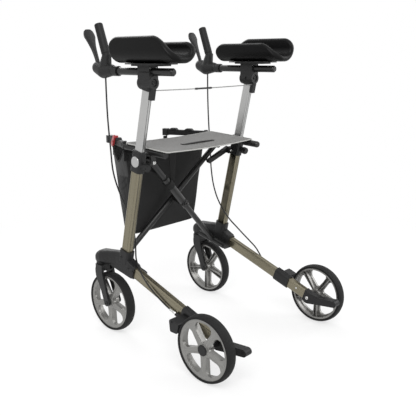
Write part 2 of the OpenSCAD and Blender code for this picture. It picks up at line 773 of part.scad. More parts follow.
// Head: socket on the height tube, barrel, clamp of the handle tube and clip of the wire
clamp_back = 23;
clamp_front = 27;
clamp_half = 17;
head_socket = 22;
head_wall = 4;
slot_t = 2.5;
recess = 3;
module post_head(s) {
    on_side(s) color(PLASTIC) {
        difference() {
            union() {
                post_frame() translate([0, 0, head_u - head_socket]) linear_extrude(head_socket + 2)
                    inner_outline(head_wall);
                head_frame() translate([0, -barrel_back, 0]) along_y()
                    cylinder(h = barrel_back + barrel_front, r = barrel_head_r);
                head_frame() translate([-clamp_half, -clamp_back, 0])
                    cube([2 * clamp_half, clamp_back + clamp_front, clamp_top]);
            }
            post_frame() linear_extrude(head_u) inner_outline(fit_gap);
            head_frame() {
                translate([0, -far / 2, bar_up]) along_y() cylinder(h = far, r = bar_r + 0.1);
                translate([bar_r / 2, -far / 2, bar_up - slot_t / 2]) cube([far, far, slot_t]);
                translate([0, -barrel_back - 1, 0]) along_y() cylinder(h = recess + 1, r = barrel_head_r - 7);
                translate([-far - barrel_head_r + recess, -5, -5]) cube([far, 10, 10]);
                for (x = [-1, 1]) translate([x * (clamp_half - 5), -clamp_back - 1, clamp_top - 6]) along_y()
                    cylinder(h = recess + 1, r = 3);
            }
        }
        post_frame() difference() {
            translate([-clip_w / 2, -inner_d / 2 - fit_gap - clip_t, wire_u + 6 - clip_h])
                cube([clip_w, clip_t, clip_h]);
            translate([-clip_w, wire_n, wire_u]) rotate([0, 90, 0])
                cylinder(h = clip_w, r = wire_r + fit_gap);
        }
    }
}

module wire(s) {
    span = post_x - clip_w / 2 + 2;
    on_side(s) color(RUBBER) fold_frame() translate([0, wire_n, wire_u]) rotate([0, 90, 0]) {
        cylinder(h = 2 * span, r = wire_r, center = true);
        cylinder(h = sleeve_len, r = sleeve_r, center = true);
    }
}

// Plate below the pad, on the clamp
plate_w = 70;
plate_len = 170;
plate_top_t = 3;
module arm_plate(s) {
    on_side(s) color(PLASTIC) head_frame() translate([0, -pad_back, clamp_top]) {
        linear_extrude(plate_t - plate_top_t) round_rect(plate_w - 12, plate_len - 50, 12);
        translate([0, 0, plate_t - plate_top_t]) linear_extrude(plate_top_t)
            round_rect(plate_w, plate_len, 20);
    }
}

// Forearm pad: a thick sheet with round corners, bent to a trough whose outer wall is the higher.
// Places on the sheet count along its section from the middle of the floor.
pad_half = pad_w / 2 - pad_t / 2;
pad_flat = pad_half - pad_bend;
pad_turn = pad_flat + pad_bend * PI / 2;
pad_reach = [pad_turn + pad_low_h - pad_t / 2 - pad_bend, pad_turn + pad_h - pad_t / 2 - pad_bend];
pad_edge = 8;
pad_spans = 8;

// Point of the section: d along it, lifted off the middle of the foam
function pad_point(d, lift) =
    let (e = abs(d), m = sign(d), a = min(max((e - pad_flat) / pad_bend, 0), PI / 2) * 180 / PI,
        x = min(e, pad_flat) + pad_bend * sin(a),
        z = pad_t / 2 + pad_bend * (1 - cos(a)) + max(e - pad_turn, 0))
    [m * (x - lift * sin(a)), z + lift * cos(a)];

// Ring at a place along the pad: its rims are round, and so are its ends
function pad_ring(y) =
    let (over = max(abs(y) - pad_len / 2 + pad_corner, 0),
        draw = pad_corner - sqrt(pad_corner * pad_corner - over * over),
        end = min(1 - (pad_len / 2 - abs(y)) / pad_edge, 1),
        round_in = end > 0 ? 1 - sqrt(1 - end * end) : 0,
        h = pad_t / 2 - round_in * pad_edge * 0.6,
        low = -pad_reach[0] + draw + round_in * 2,
        high = pad_reach[1] - draw - round_in * 2,
        rim = [[0.13, 0.5], [0.5, 0.87], [1, 1]],
        flat = [for (k = [1:pad_spans - 1]) low + pad_edge + (high - low - 2 * pad_edge) * k / pad_spans],
        under = concat([for (r = rim) [low + r[0] * pad_edge, -r[1] * h]], [for (d = flat) [d, -h]],
            [for (i = [2:-1:0]) [high - rim[i][0] * pad_edge, -rim[i][1] * h]]),
        n = len(under),
        over_side = [for (i = [n - 1:-1:0]) [under[i].x, -under[i].y]])
    [for (p = concat([[low, 0]], under, [[high, 0]], over_side)) let (q = pad_point(p.x, p.y)) [q.x, y, q.y]];
pad_ends = [0, 0.8, 2.4, 5, 8, 14, 22, 32, 42, 50, 90];
pad_places = concat([for (e = pad_ends) e - pad_len / 2], [0],
    [for (i = [len(pad_ends) - 1:-1:0]) pad_len / 2 - pad_ends[i]]);

// Skin over the pad's rings, closed at its ends by strips from the underside to the trough
module bent_sheet(rings) {
    n = len(rings[0]);
    last = (len(rings) - 1) * n;
    sides = [for (i = [0:len(rings) - 2], j = [0:n - 1]) let (a = i * n + j, b = i * n + (j + 1) % n)
        each [[a, b, a + n], [b, b + n, a + n]]];
    ends = [for (j = [0:n / 2 - 1]) let (a = j, b = j + 1, c = n - j - 1, d = (n - j) % n)
        each concat(b == c ? [] : [[a, c, b], [last + a, last + b, last + c]],
            d == a ? [] : [[a, d, c], [last + a, last + c, last + d]])];
    polyhedron([for (ring = rings) each ring], concat(sides, ends));
}
module arm_pad(s) {
    on_side(s) color(CLOTH_BLACK) head_frame() translate([0, -pad_back, plate_top + side_gap])
        bent_sheet([for (y = pad_places) pad_ring(y)]);
}

module handle_tube(s) {
    on_side(s) color(PLASTIC) head_frame() translate([0, -bar_back, bar_up]) along_y() {
        translate([0, 0, 4]) cylinder(h = bar_back + bar_front - 4, r = bar_r);
        cylinder(h = 4, r1 = bar_r - 3, r2 = bar_r);
    }
}

// Lever pivot ahead of the grip's base, in the head's frame
lever_pin = [bar_front + 90, bar_up + 11];
slot_half = 8;
module fist(y, z, r) {
    head_frame() translate([0, bar_front + y, bar_up + z]) sphere(r, $fn = hull_fn);
}
module grip_housing(s) {
    route = s > 0 ? right_route : left_route;
    on_side(s) color(PLASTIC) {
        difference() {
            union() {
                hull() {
                    fist(90, 9, 20);
                    fist(64, 0, 23);
                    fist(27, 2, 17);
                }
                hull() {
                    fist(60, 3, 21);
                    grip_frame() translate([0, 0, -1]) cylinder(h = 1, r = grip_r + 1.5, $fn = hull_fn);
                }
                head_frame() translate([0, bar_front - 6, bar_up]) along_y() cylinder(h = 22, r = bar_r + 4);
            }
            head_frame() translate([0, bar_front - 20, bar_up]) along_y()
                cylinder(h = 20, r = bar_r + fit_gap);
            head_frame() translate([-slot_half, lever_pin.x - 13, lever_pin.y - 14])
                cube([2 * slot_half, 60, 60]);
            translate(route[0] - [0, 0, 30]) cylinder(h = 31, r = cable_r + side_gap);
        }
        head_frame() translate([-slot_half - 1, lever_pin.x, lever_pin.y]) rotate([0, 90, 0])
            cylinder(h = 2 * slot_half + 2, r = brake_pin_r);
    }
}

// Grip: a straight sleeve with a groove round its base and a round top edge
grip_edge = 5;
module grip(s) {
    on_side(s) color(RUBBER) grip_frame() rotate_extrude()
        polygon(concat([[0, 0], [grip_r, 0], [grip_r, 4], [grip_r - 1.2, 5], [grip_r - 1.2, 7], [grip_r, 8]],
            [for (a = [0:18:90])
                [grip_r - 0.5 - grip_edge * (1 - cos(a)), grip_len - grip_edge * (1 - sin(a))]],
            [[0, grip_len]]));
}

// Paddle: round-cornered sections along a curve from the pivot to the tip
lever_line = [[0, 0], [5, 19], [16, 45], [27, 67], [38, 90], [46, 112]];
lever_base_w = 2 * slot_half - 2 * side_gap;
module brake_lever(s) {
    line = curve(lever_line, 3);
    last = len(line) - 1;
    rings = [for (i = [0:last]) let (
        t = i / last,
        d = unit(line[min(i + 1, last)] - line[max(i - 1, 0)]),
        tip = i > last - 3 ? sqrt(1 - pow((i - last + 3) / 3.4, 2)) : 1,
        flare = min(pow(max(t - 0.2, 0) / 0.6, 2), 1),
        w = (lever_base_w + (lever_w - lever_base_w) * flare) / 2 * tip,
        h = lever_t / 2 * sqrt(tip))
        [for (a = [0:30:330]) let (x = w * cos(a), y = h * sin(a))
            [x, line[i].x - d.y * y, line[i].y + d.x * y]]];
    on_side(s) color(PLASTIC) head_frame() translate([0, lever_pin.x, lever_pin.y]) difference() {
        union() {
            skin(rings);
            translate([-lever_base_w / 2, 0, 0]) rotate([0, 90, 0]) cylinder(h = lever_base_w, r = 8);
        }
        translate([-far / 2, 0, 0]) rotate([0, 90, 0]) cylinder(h = far, r = brake_pin_r + run_gap);
    }
}

eye_half = 11;

// One brace: lower barrel on the knee's rod, tube, and upper barrel on the rail's pin
module brace_tube(n, s) {
    low = [-s * pivot_x, n, pivot_u];
    top = [s * top_x, n, top_u];
    bar(low, top, brace_r);
    translate([low.x, rod_n - barrel_len / 2, low.z]) along_y() cylinder(h = barrel_len, r = barrel_r);
    translate([top.x, n - eye_half, top.z]) along_y() cylinder(h = 2 * eye_half, r = pin_r + 5);
}
module brace_bores(n, s) {
    translate([-s * pivot_x, rod_n - far / 2, pivot_u]) along_y() cylinder(h = far, r = rod_r + run_gap);
    translate([s * top_x, n - eye_half - 1, top_u]) along_y()
        cylinder(h = 2 * eye_half + 2, r = pin_r + run_gap);
}
cross_n = rear_n + brace_sleeve_r;
module front_brace() {
    on_side(1) color(PLASTIC) fold_frame() {
        difference() {
            union() {
                brace_tube(front_n, 1);
                translate([0, cross_n + side_gap, cross_u]) along_y()
                    cylinder(h = front_n - cross_n - side_gap, r = barrel_r);
            }
            brace_bores(front_n, 1);
        }
        translate([0, rear_n - brace_sleeve_r, cross_u]) along_y()
            cylinder(h = 2 * brace_sleeve_r + side_gap, r = pin_r);
    }
}
module rear_brace() {
    sleeve = [for (u = sleeve_u) [-(u - cross_u) / tan(brace_deg), rear_n, u]];
    on_side(1) color(PLASTIC) fold_frame() difference() {
        union() {
            brace_tube(rear_n, -1);
            bar(sleeve[0], sleeve[1], brace_sleeve_r);
            translate([0, cross_n - 2 * brace_sleeve_r, cross_u]) along_y()
                cylinder(h = 2 * brace_sleeve_r, r = barrel_r + 2);
        }
        brace_bores(rear_n, -1);
        translate([0, cross_n - far / 2, cross_u]) along_y() cylinder(h = far, r = pin_r + run_gap);
    }
}

// Link from the collar's lug to the brace's side; its far pin ends short of the brace
module fold_link(s) {
    on_side(s) color(PLASTIC) fold_frame() difference() {
        union() {
            translate([0, link_n() + link_t / 2, 0]) rotate([90, 0, 0]) linear_extrude(link_t)
                taper([link_x, link_u], [hold_x, hold_u], link_r, link_r - 1);
            if (s > 0) translate([hold_x, link_n(), hold_u]) along_y()
                cylinder(h = front_n - brace_r - side_gap - link_n(), r = link_pin_r);
            else translate([hold_x, rear_n + brace_r + side_gap, hold_u]) along_y()
                cylinder(h = link_n() - rear_n - brace_r - side_gap, r = link_pin_r);
        }
        translate([link_x, 0, link_u]) along_y() cylinder(h = far, r = link_pin_r + run_gap);
    }
}

// Height of the seat rails at a place ahead of the uprights, in the fold's frame
function rail_height(n) = seat_u + (n - fold_n) * tan(seat_tilt - post_lean);
tongue = 8;
knuckle_r = 7;

// Seat rail: tube with an end cap, ears round the brace's upper barrel, tongue for the bag arm
module seat_rail(s) {
    n = s > 0 ? front_n : rear_n;
    back = s > 0 ? right_rail_back : left_rail_back;
    on_side(s) color(PLASTIC) {
        translate([rail_x, 0, 0]) seat_frame() {
            translate([0, -back, 0]) along_y() cylinder(h = back + rail_front, r = seat_rail_r);
            translate([0, -back - 4, 0]) along_y() cylinder(h = 4, r1 = seat_rail_r - 2, r2 = seat_rail_r);
        }
        fold_frame() for (k = [n + eye_half + side_gap, n - eye_half - side_gap - ear_t])
            translate([0, k + ear_t, 0]) rotate([90, 0, 0]) linear_extrude(ear_t)
                taper([top_x, top_u], [rail_x, rail_height(k + ear_t / 2)], pin_r + 4, seat_rail_r - 2);
        fold_frame() translate([top_x, n - eye_half - side_gap - ear_t, top_u]) along_y()
            cylinder(h = 2 * (eye_half + side_gap + ear_t), r = pin_r);
        translate([rail_x, knuckle_y, knuckle_z + arm_up]) {
            translate([0, 0, -tongue / 2]) linear_extrude(tongue) {
                circle(8);
                translate([-8, -14]) square([16, 14]);
            }
            translate([0, 0, -arm_h / 2]) cylinder(h = arm_h, r = link_pin_r);
        }
    }
}

// Bag arm: fork on the rail's tongue, moulded bar with two raised pads, end block
module bag_arm(s) {
    on_side(s) color(PLASTIC) arm_frame() difference() {
        union() {
            translate([0, 0, -arm_h / 2]) cylinder(h = arm_h, r = knuckle_r);
            translate([-arm_w / 2, 0, -arm_h / 2 + 2]) cube([arm_w, arm_len, arm_h - 5]);
            translate([0, arm_len, -arm_h / 2]) linear_extrude(arm_h) round_rect(arm_end, arm_end, arm_end_r);
            for (y = [0.42, 0.8]) translate([0, y * arm_len, arm_h / 2 - 4]) across(arm_w + 4)
                polygon([[-17, 0], [-9, 7], [9, 7], [17, 0]]);
        }
        translate([-12, -12, -tongue / 2 - side_gap]) cube([24, 22, tongue + 2 * side_gap]);
        cylinder(h = far, r = link_pin_r + run_gap, center = true);
    }
}

// Red catch on the outer side of the left bag arm
latch_y = 0.5;
module latch() {
    on_side(-1) color(RED) arm_frame() translate([arm_w / 2 + 2 + side_gap, latch_y * arm_len, 2]) {
        rotate([90, 0, 90]) linear_extrude(6) taper([10, -9], [-10, 15], 8, 7);
        translate([-9, -17, 13.5]) cube([12, 14, 6]);
        translate([5, 0, 0]) rotate([0, 90, 0]) cylinder(h = 2.5, r = 4);
    }
}

// Seat cloth over the rails, with its pull handle and the strap down to the rear brace
loop_u = hold_u - 44;
loop_len = 30;
pull_back = 44;
pull_len = 140;
pull_w = 12;
pull_t = 2.5;
strap_slant = 22;
module seat() {
    top = seat_rail_r + side_gap;
    half = rail_x + seat_rail_r;
    loop_r = brace_sleeve_r + side_gap;
    loop_x = -(loop_u - cross_u) / tan(brace_deg);
    loop_y = foot_y + rear_n * cos(post_lean) - loop_u * sin(post_lean);
    loop_z = foot_z + rear_n * sin(post_lean) + loop_u * cos(post_lean);
    strap_y = seat_y - pull_back;
    strap_z = seat_z - pull_back * sin(seat_tilt) + top;
    rings = [for (e = [[loop_x, loop_y, loop_z + loop_r], [loop_x + strap_slant, strap_y, strap_z + 1]])
        [for (c = [[-1, -1], [-1, 1], [1, 1], [1, -1]]) e + [c.x * loop_len / 2, c.y * strap_t / 2, 0]]];
    on_side(1) {
        color(CLOTH_GREY) seat_frame() translate([0, (seat_front - seat_back) / 2, top])
            linear_extrude(seat_t)
            round_rect(2 * half, seat_front + seat_back, 10);
        color(CLOTH_BLACK) {
            seat_frame() translate([8, -pull_back, top + seat_t]) linear_extrude(pull_t)
                round_rect(pull_len, pull_w, pull_w / 2 - 1);
            difference() {
                union() {
                    skin(rings);
                    loop_bar(loop_x, loop_r + strap_t, loop_len);
                }
                loop_bar(loop_x, loop_r, 3 * loop_len);
            }
        }
    }
}
module loop_bar(x, r, l) {
    fold_frame() translate([x, rear_n, loop_u]) rotate([0, brace_deg - 90, 0])
        cylinder(h = l, r = r, center = true);
}

// Bag: cloth walls and floor, open at the top, straps up to the arms
function bag_ring(t, in) =
    let (z = bag_low_z + t * (bag_top_z - bag_low_z),
        back = bag_back_low_y + t * (bag_back_y - bag_back_low_y) + in,
        front = bag_front_low_y + t * (bag_front_y - bag_front_low_y) - in,
        bx = bag_low_x + t * (bag_top_x - bag_low_x) - in,
        fx = bag_low_x - 20 + t * (arm_tip_x - bag_low_x + 20) - in)
    [[-bx, back, z], [-fx, front, z], [fx, front, z], [bx, back, z]];
module bag() {
    inner_t = bag_t / (bag_top_z - bag_low_z);
    dip = 22;
    dip_half = (bag_front_y - bag_back_y) / 2 - 8;
    dip_r = (dip_half * dip_half + dip * dip) / (2 * dip);
    strap_h = 13 - side_gap;
    on_side(1) color(CLOTH_BLACK) {
        difference() {
            skin([bag_ring(0, 0), bag_ring(1, 0)]);
            skin([bag_ring(inner_t, bag_t), bag_ring(1.02, bag_t)]);
            translate([-far, (bag_back_y + bag_front_y) / 2, bag_top_z + dip_r - dip]) rotate([0, 90, 0])
                cylinder(h = 2 * far, r = dip_r);
        }
        for (m = [-1, 1]) {
            translate([m * (bag_top_x - 8) - strap_w / 2, bag_back_y, bag_top_z - 1])
                cube([strap_w, bag_t, strap_h]);
            translate([m * (arm_tip_x - 11) - strap_w / 2, bag_front_y - bag_t, bag_top_z - 1])
                cube([strap_w, bag_t, strap_h]);
        }
    }
}

upright_tube(-1);  // left_upright_tube
upright_tube(1);  // right_upright_tube
knee(-1);  // left_knee
knee(1);  // right_knee
lower_rail(-1);  // left_lower_rail
lower_rail(1);  // right_lower_rail
collar(-1);  // left_collar
collar(1);  // right_collar
badge(-1);  // left_badge
badge(1);  // right_badge
brake_housing(-1);  // left_brake_housing
brake_housing(1);  // right_brake_housing
axle_bracket(-1);  // left_axle_bracket
axle_bracket(1);  // right_axle_bracket
brake_cable(-1);  // left_brake_cable
brake_cable(1);  // right_brake_cable
inner_tube(-1);  // left_inner_tube
inner_tube(1);  // right_inner_tube
post_head(-1);  // left_post_head
post_head(1);  // right_post_head
arm_plate(-1);  // left_arm_plate
arm_plate(1);  // right_arm_plate
arm_pad(-1);  // left_arm_pad
arm_pad(1);  // right_arm_pad
handle_tube(-1);  // left_handle_tube
handle_tube(1);  // right_handle_tube
grip_housing(-1);  // left_grip_housing
grip_housing(1);  // right_grip_housing
grip(-1);  // left_grip
grip(1);  // right_grip
brake_lever(-1);  // left_brake_lever
brake_lever(1);  // right_brake_lever
brake_shoe(-1);  // left_brake_shoe
brake_shoe(1);  // right_brake_shoe
height_knob(-1);  // left_height_knob
height_knob(1);  // right_height_knob
caster_fork(-1);  // left_caster_fork
caster_fork(1);  // right_caster_fork
tyre(caster_wheel, -1);  // left_caster_tyre
tyre(caster_wheel, 1);  // right_caster_tyre
rim(caster_wheel, -1);  // left_caster_rim
rim(caster_wheel, 1);  // right_caster_rim
tyre(rear_wheel, -1);  // left_rear_tyre
tyre(rear_wheel, 1);  // right_rear_tyre
rim(rear_wheel, -1);  // left_rear_rim
rim(rear_wheel, 1);  // right_rear_rim
hub_cap(-1);  // left_hub_cap
hub_cap(1);  // right_hub_cap
fold_link(-1);  // left_fold_link
fold_link(1);  // right_fold_link
seat_rail(-1);  // left_seat_rail
seat_rail(1);  // right_seat_rail
bag_arm(-1);  // left_bag_arm
bag_arm(1);  // right_bag_arm
front_brace();
rear_brace();
seat();
bag();
latch();
wire(1);
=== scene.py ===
"""Dresses the solids of an upright walker: forearm pads, cloth, cables, fasteners and finishes."""

import math

import bmesh
import bpy
import numpy as np
from bpy.props import FloatProperty, FloatVectorProperty, IntProperty, PointerProperty
from bpy.types import Operator, Panel, PropertyGroup
from mathutils import Matrix, Vector


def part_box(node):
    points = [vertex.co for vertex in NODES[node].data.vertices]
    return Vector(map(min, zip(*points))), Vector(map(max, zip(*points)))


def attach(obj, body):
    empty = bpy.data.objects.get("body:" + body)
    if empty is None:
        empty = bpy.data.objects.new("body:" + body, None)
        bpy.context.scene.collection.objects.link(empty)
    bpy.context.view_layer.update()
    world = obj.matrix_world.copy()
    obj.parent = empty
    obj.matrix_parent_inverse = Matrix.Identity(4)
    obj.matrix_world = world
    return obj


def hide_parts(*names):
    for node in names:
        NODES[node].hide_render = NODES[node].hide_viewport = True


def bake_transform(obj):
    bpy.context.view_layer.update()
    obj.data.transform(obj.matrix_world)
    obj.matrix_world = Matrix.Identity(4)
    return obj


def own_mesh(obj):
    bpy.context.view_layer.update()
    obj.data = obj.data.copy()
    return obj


bl_info = {
    "name": "Upright walker",
    "version": (1, 0, 0),
    "blender": (4, 5, 0),
    "location": "3D View > Sidebar > Walker",
    "description": "Dresses the upright walker with pads, cloth, cables, fasteners and finishes",
    "category": "Object",
}

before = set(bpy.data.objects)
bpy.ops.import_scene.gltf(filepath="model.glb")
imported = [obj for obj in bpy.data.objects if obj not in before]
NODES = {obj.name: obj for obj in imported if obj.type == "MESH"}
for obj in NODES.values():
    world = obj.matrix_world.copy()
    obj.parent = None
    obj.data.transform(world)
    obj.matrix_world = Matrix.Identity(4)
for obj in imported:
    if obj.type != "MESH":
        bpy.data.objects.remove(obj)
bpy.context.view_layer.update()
SIDES = (("left", -1.0), ("right", 1.0))

# Places of the walker's lines, in metres: the solids' own frame
MID_Y = 0.239855
LEAN = math.radians(12.9)
POST_X = 0.2305
FOOT_Y, FOOT_Z = 0.404 - MID_Y, 0.2259
RAIL_Y, RAIL_Z, RAIL_SLOPE = 0.0135 - MID_Y, 0.110, math.radians(19.317)
SEAT_Y, SEAT_Z, SEAT_TILT = 0.344267 - MID_Y, 0.614369, math.radians(3.5)
KNUCKLE_Y, KNUCKLE_Z = 0.432103 - MID_Y, 0.619741
HEAD_Y, HEAD_Z = 0.267594 - MID_Y, 0.821479
SEAT_RAIL_X, SEAT_RAIL_R = 0.190, 0.0105
BRACE_TOP_X, BRACE_TOP_U, BRACE_FOOT_X, BRACE_FOOT_U = 0.177, 0.364, 0.198, 0.002
BRACE_SLOPE = math.atan2(BRACE_TOP_U - BRACE_FOOT_U, BRACE_TOP_X + BRACE_FOOT_X)
CROSS_U = BRACE_FOOT_U + BRACE_FOOT_X * math.tan(BRACE_SLOPE)


def leaning(x, n, u):
    """A point of the leaning frame: x across, n ahead of the upright's line, u up along it."""
    c, s = math.cos(LEAN), math.sin(LEAN)
    return np.array((x, FOOT_Y + n * c - u * s, FOOT_Z + n * s + u * c))


def on_rail(x, s, t):
    """A point of a lower rail: x across, s forwards along it, t square to it, upwards."""
    c, d = math.cos(RAIL_SLOPE), math.sin(RAIL_SLOPE)
    return np.array((x, RAIL_Y + s * c - t * d, RAIL_Z + s * d + t * c))


def on_seat(x, y, z):
    """Points of the seat's frame: x across, y forwards along the rails, z above their middles."""
    c, d = math.cos(SEAT_TILT), math.sin(SEAT_TILT)
    x, y, z = np.broadcast_arrays(np.asarray(x, float), y, z)
    return np.stack((x, SEAT_Y + y * c - z * d, SEAT_Z + y * d + z * c), axis=-1)


def length_property(label, what, value, low, high):
    """A length that a user can set, in metres."""
    return FloatProperty(name=label, description=what, default=value, min=low, max=high, unit="LENGTH")


def colour_property(label, what, value):
    """A colour that a user can set."""
    return FloatVectorProperty(
        name=label, description=what, subtype="COLOR", size=3, min=0.0, max=1.0, default=value)


class WalkerSizes(PropertyGroup):
    """Sizes of the dressed pieces."""

    pad_thickness: length_property("Pad thickness", "Thickness of the forearm pads' foam", 0.020, 0.014, 0.024)
    pad_bend: length_property(
        "Pad bend", "Radius of the trough's bend, at the middle of the foam", 0.034, 0.030, 0.036)
    pad_corner: length_property(
        "Pad corner", "Reach of the pads' round corners, laid flat", 0.038, 0.026, 0.050)
    pad_high_sweep: length_property(
        "High wall's sweep", "Reach of the high wall's swept corner, laid flat", 0.078, 0.050, 0.084)
    pad_low_sweep: length_property(
        "Low wall's sweep", "Reach of the low wall's swept corner, laid flat", 0.064, 0.040, 0.070)
    pad_edge: length_property("Pad edge", "Rounding along the pads' rims", 0.008, 0.004, 0.010)
    seat_sag: length_property(
        "Seat sag", "Depth that the seat's cloth sinks between its rails", 0.004, 0.0, 0.008)
    seat_cloth: length_property("Seat thickness", "Thickness of the seat's padded cloth", 0.003, 0.002, 0.004)
    bag_swell: length_property("Bag swell", "Outward swell of the bag's panels", 0.005, 0.0, 0.010)
    bag_cloth: length_property("Bag cloth", "Thickness of the bag's cloth", 0.002, 0.001, 0.003)
    cable_radius: length_property("Cable radius", "Radius of a brake cable's sheath", 0.0025, 0.0015, 0.003)
    stitch_pitch: length_property("Stitch pitch", "Distance from stitch to stitch", 0.0045, 0.003, 0.008)
    turned_sides: IntProperty(
        name="Turned sides", description="Faces round a turned piece", default=20, min=12, max=48)


class WalkerColours(PropertyGroup):
    """Colours of the finishes, scene linear."""

    anodised: colour_property("Frame", "Anodised frame tubes", (0.222, 0.201, 0.145))
    silver: colour_property("Silver", "Height tubes and badges", (0.45, 0.45, 0.445))
    plastic: colour_property("Plastic", "Moulded fittings", (0.0130, 0.0130, 0.0133))
    coated: colour_property("Coated tube", "Braces, seat rails and handle tubes", (0.0115, 0.0115, 0.0115))
    tyre: colour_property("Tyre", "Wheel treads", (0.009, 0.009, 0.009))
    rim: colour_property("Rim", "Wheel spokes", (0.235, 0.232, 0.222))
    seat: colour_property("Seat", "Seat cloth", (0.190, 0.188, 0.183))
    piping: colour_property("Piping", "Edges of the seat", (0.36, 0.36, 0.345))
    bag: colour_property("Bag", "Bag cloth", (0.009, 0.009, 0.009))
    pad: colour_property("Pad", "Skin of the forearm pads", (0.0028, 0.0028, 0.0029))
    cable: colour_property("Cable", "Cable sheaths", (0.010, 0.010, 0.010))
    catch: colour_property("Catch", "Red catch", (0.36, 0.032, 0.036))
    steel: colour_property("Steel", "Screws and ferrules", (0.62, 0.62, 0.61))


MERGE_DISTANCE = 1e-6


class Shell:
    """Collects grids of points into one mesh."""

    def __init__(self):
        self.points, self.quads, self.tris, self.uvs, self.count = [], [], [], [], 0

    def add(self, grid, close_u=False, close_v=False, caps=False, uv=None):
        """Adds a grid of points, rows by columns, with a face in each of its cells.

        close_u joins the last column to the first, close_v the last row to the first, and caps
        close the first and last rows with a fan of triangles to their middles.
        """
        rows, cols = grid.shape[:2]
        index = np.arange(rows * cols).reshape(rows, cols) + self.count
        across = np.concatenate((index, index[:, :1]), axis=1) if close_u else index
        full = np.concatenate((across, across[:1]), axis=0) if close_v else across
        cells = np.stack((full[:-1, :-1], full[:-1, 1:], full[1:, 1:], full[1:, :-1]), axis=-1)
        self.points.append(grid.reshape(-1, 3))
        self.quads.append(cells.reshape(-1, 4))
        self.count += rows * cols
        if uv is not None:
            self.uvs.append(uv.reshape(-1, 2))
        if caps:
            for row, ends in ((0, grid[0]), (-1, grid[-1])):
                self.points.append(ends.mean(axis=0, keepdims=True))
                ring = across[row]
                hub = np.full(len(ring) - 1, self.count)
                fan = np.stack((ring[1:], ring[:-1], hub), axis=-1)
                self.tris.append(fan if row == 0 else fan[:, ::-1])
                self.count += 1

    def rod(self, grid):
        """Adds a band of closed rings whose two ends are capped."""
        self.add(grid, close_u=True, caps=True)

    def hoop(self, path, radius, sides):
        """Adds a tube along a path that ends where it begins, its ring square to the path there too."""
        around = np.concatenate((path[-2:], path, path[:2]))
        self.add(tube(around, radius, sides)[2:-2], close_u=True, close_v=True)

    def make(self, name, sharp=40.0, outward=True):
        """Makes the collected grids one object at the origin, its edges sharp over an angle in degrees."""
        mesh = bpy.data.meshes.new(name)
        faces = np.concatenate(self.quads).tolist()
        if self.tris:
            faces += np.concatenate(self.tris).tolist()
        mesh.from_pydata(np.concatenate(self.points).tolist(), [], faces)
        if self.uvs:
            layer = mesh.uv_layers.new(name="cloth")
            corners = np.empty(len(mesh.loops), dtype=np.int32)
            mesh.loops.foreach_get("vertex_index", corners)
            flat = np.concatenate(self.uvs).astype(np.float32)
            layer.uv.foreach_set("vector", flat[np.minimum(corners, len(flat) - 1)].ravel())
        work = bmesh.new()
        work.from_mesh(mesh)
        bmesh.ops.remove_doubles(work, verts=work.verts, dist=MERGE_DISTANCE)
        if outward:
            bmesh.ops.recalc_face_normals(work, faces=work.faces)
        work.to_mesh(mesh)
        work.free()
        mesh.polygons.foreach_set("use_smooth", np.ones(len(mesh.polygons), dtype=bool))
        mesh.set_sharp_from_angle(angle=math.radians(sharp))
        thing = bpy.data.objects.new(name, mesh)
        bpy.context.scene.collection.objects.link(thing)
        return thing


def unit(v):
    """Vectors at length one."""
    v = np.asarray(v, float)
    return v / np.linalg.norm(v, axis=-1, keepdims=True)


def run_length(points, axis=0):
    """Length along lines of points from their first, summed over the straight steps between them."""
    step = np.linalg.norm(np.diff(points, axis=axis), axis=-1)
    first = np.zeros_like(np.take(step, (0,), axis=axis))
    return np.concatenate((first, np.cumsum(step, axis=axis)), axis=axis)


def smooth_path(points, steps):
    """A Catmull-Rom curve through points, with steps places to each span."""
    p = np.asarray(points, float)
    padded = np.concatenate((p[:1], p, p[-1:]))
    a, b, c, d = (padded[k:len(p) - 1 + k, None] for k in range(4))
    t = (np.arange(steps) / steps)[None, :, None]
    curve = b + t / 2 * (c - a + t * (2 * a - 5 * b + 4 * c - d + t * (3 * (b - c) + d - a)))
    return np.concatenate((curve.reshape(-1, 3), p[-1:]))


# Directions off every axis used here, from which a ring's first radius is found, and the share of z from
# which an axis counts as upright
TUBE_GUIDE = (0.2, 1.0, 0.1)
LEVEL_GUIDE, UPRIGHT_GUIDE, UPRIGHT_FROM = (0.31, 0.17, 0.93), (1.0, 0.1, 0.0), 0.8
# Faces round a band, and the powers that square its flats and round its edges
RIBBON_SIDES, RIBBON_FLAT, RIBBON_EDGE = 20, 0.25, 0.7


def circle(sides):
    """Angles of the corners of a ring."""
    return np.linspace(0, 2 * np.pi, sides, endpoint=False)


def tube(path, radius, sides):
    """A circle carried along a path: each ring lies square to the path there."""
    along = unit(np.gradient(path, axis=0))
    first = unit(np.cross(along, TUBE_GUIDE))
    second = np.cross(along, first)
    turn = circle(sides)
    radius = np.broadcast_to(np.asarray(radius, float), (len(path),))[:, None, None]
    ring = np.cos(turn)[None, :, None] * first[:, None] + np.sin(turn)[None, :, None] * second[:, None]
    return path[:, None] + radius * ring


def ribbon(path, across, width, thickness):
    """A flat band with round edges carried along a path; across is its direction of width.

    Its section is a superellipse: cosine and sine of the turn, each raised to its own power.
    """
    along = unit(np.gradient(path, axis=0))
    side = unit(np.broadcast_to(np.asarray(across, float), path.shape))
    up = unit(np.cross(side, along))
    turn = circle(RIBBON_SIDES)
    x = np.sign(np.cos(turn)) * np.abs(np.cos(turn)) ** RIBBON_FLAT * width / 2
    y = np.sign(np.sin(turn)) * np.abs(np.sin(turn)) ** RIBBON_EDGE * thickness / 2
    return path[:, None] + x[None, :, None] * side[:, None] + y[None, :, None] * up[:, None]


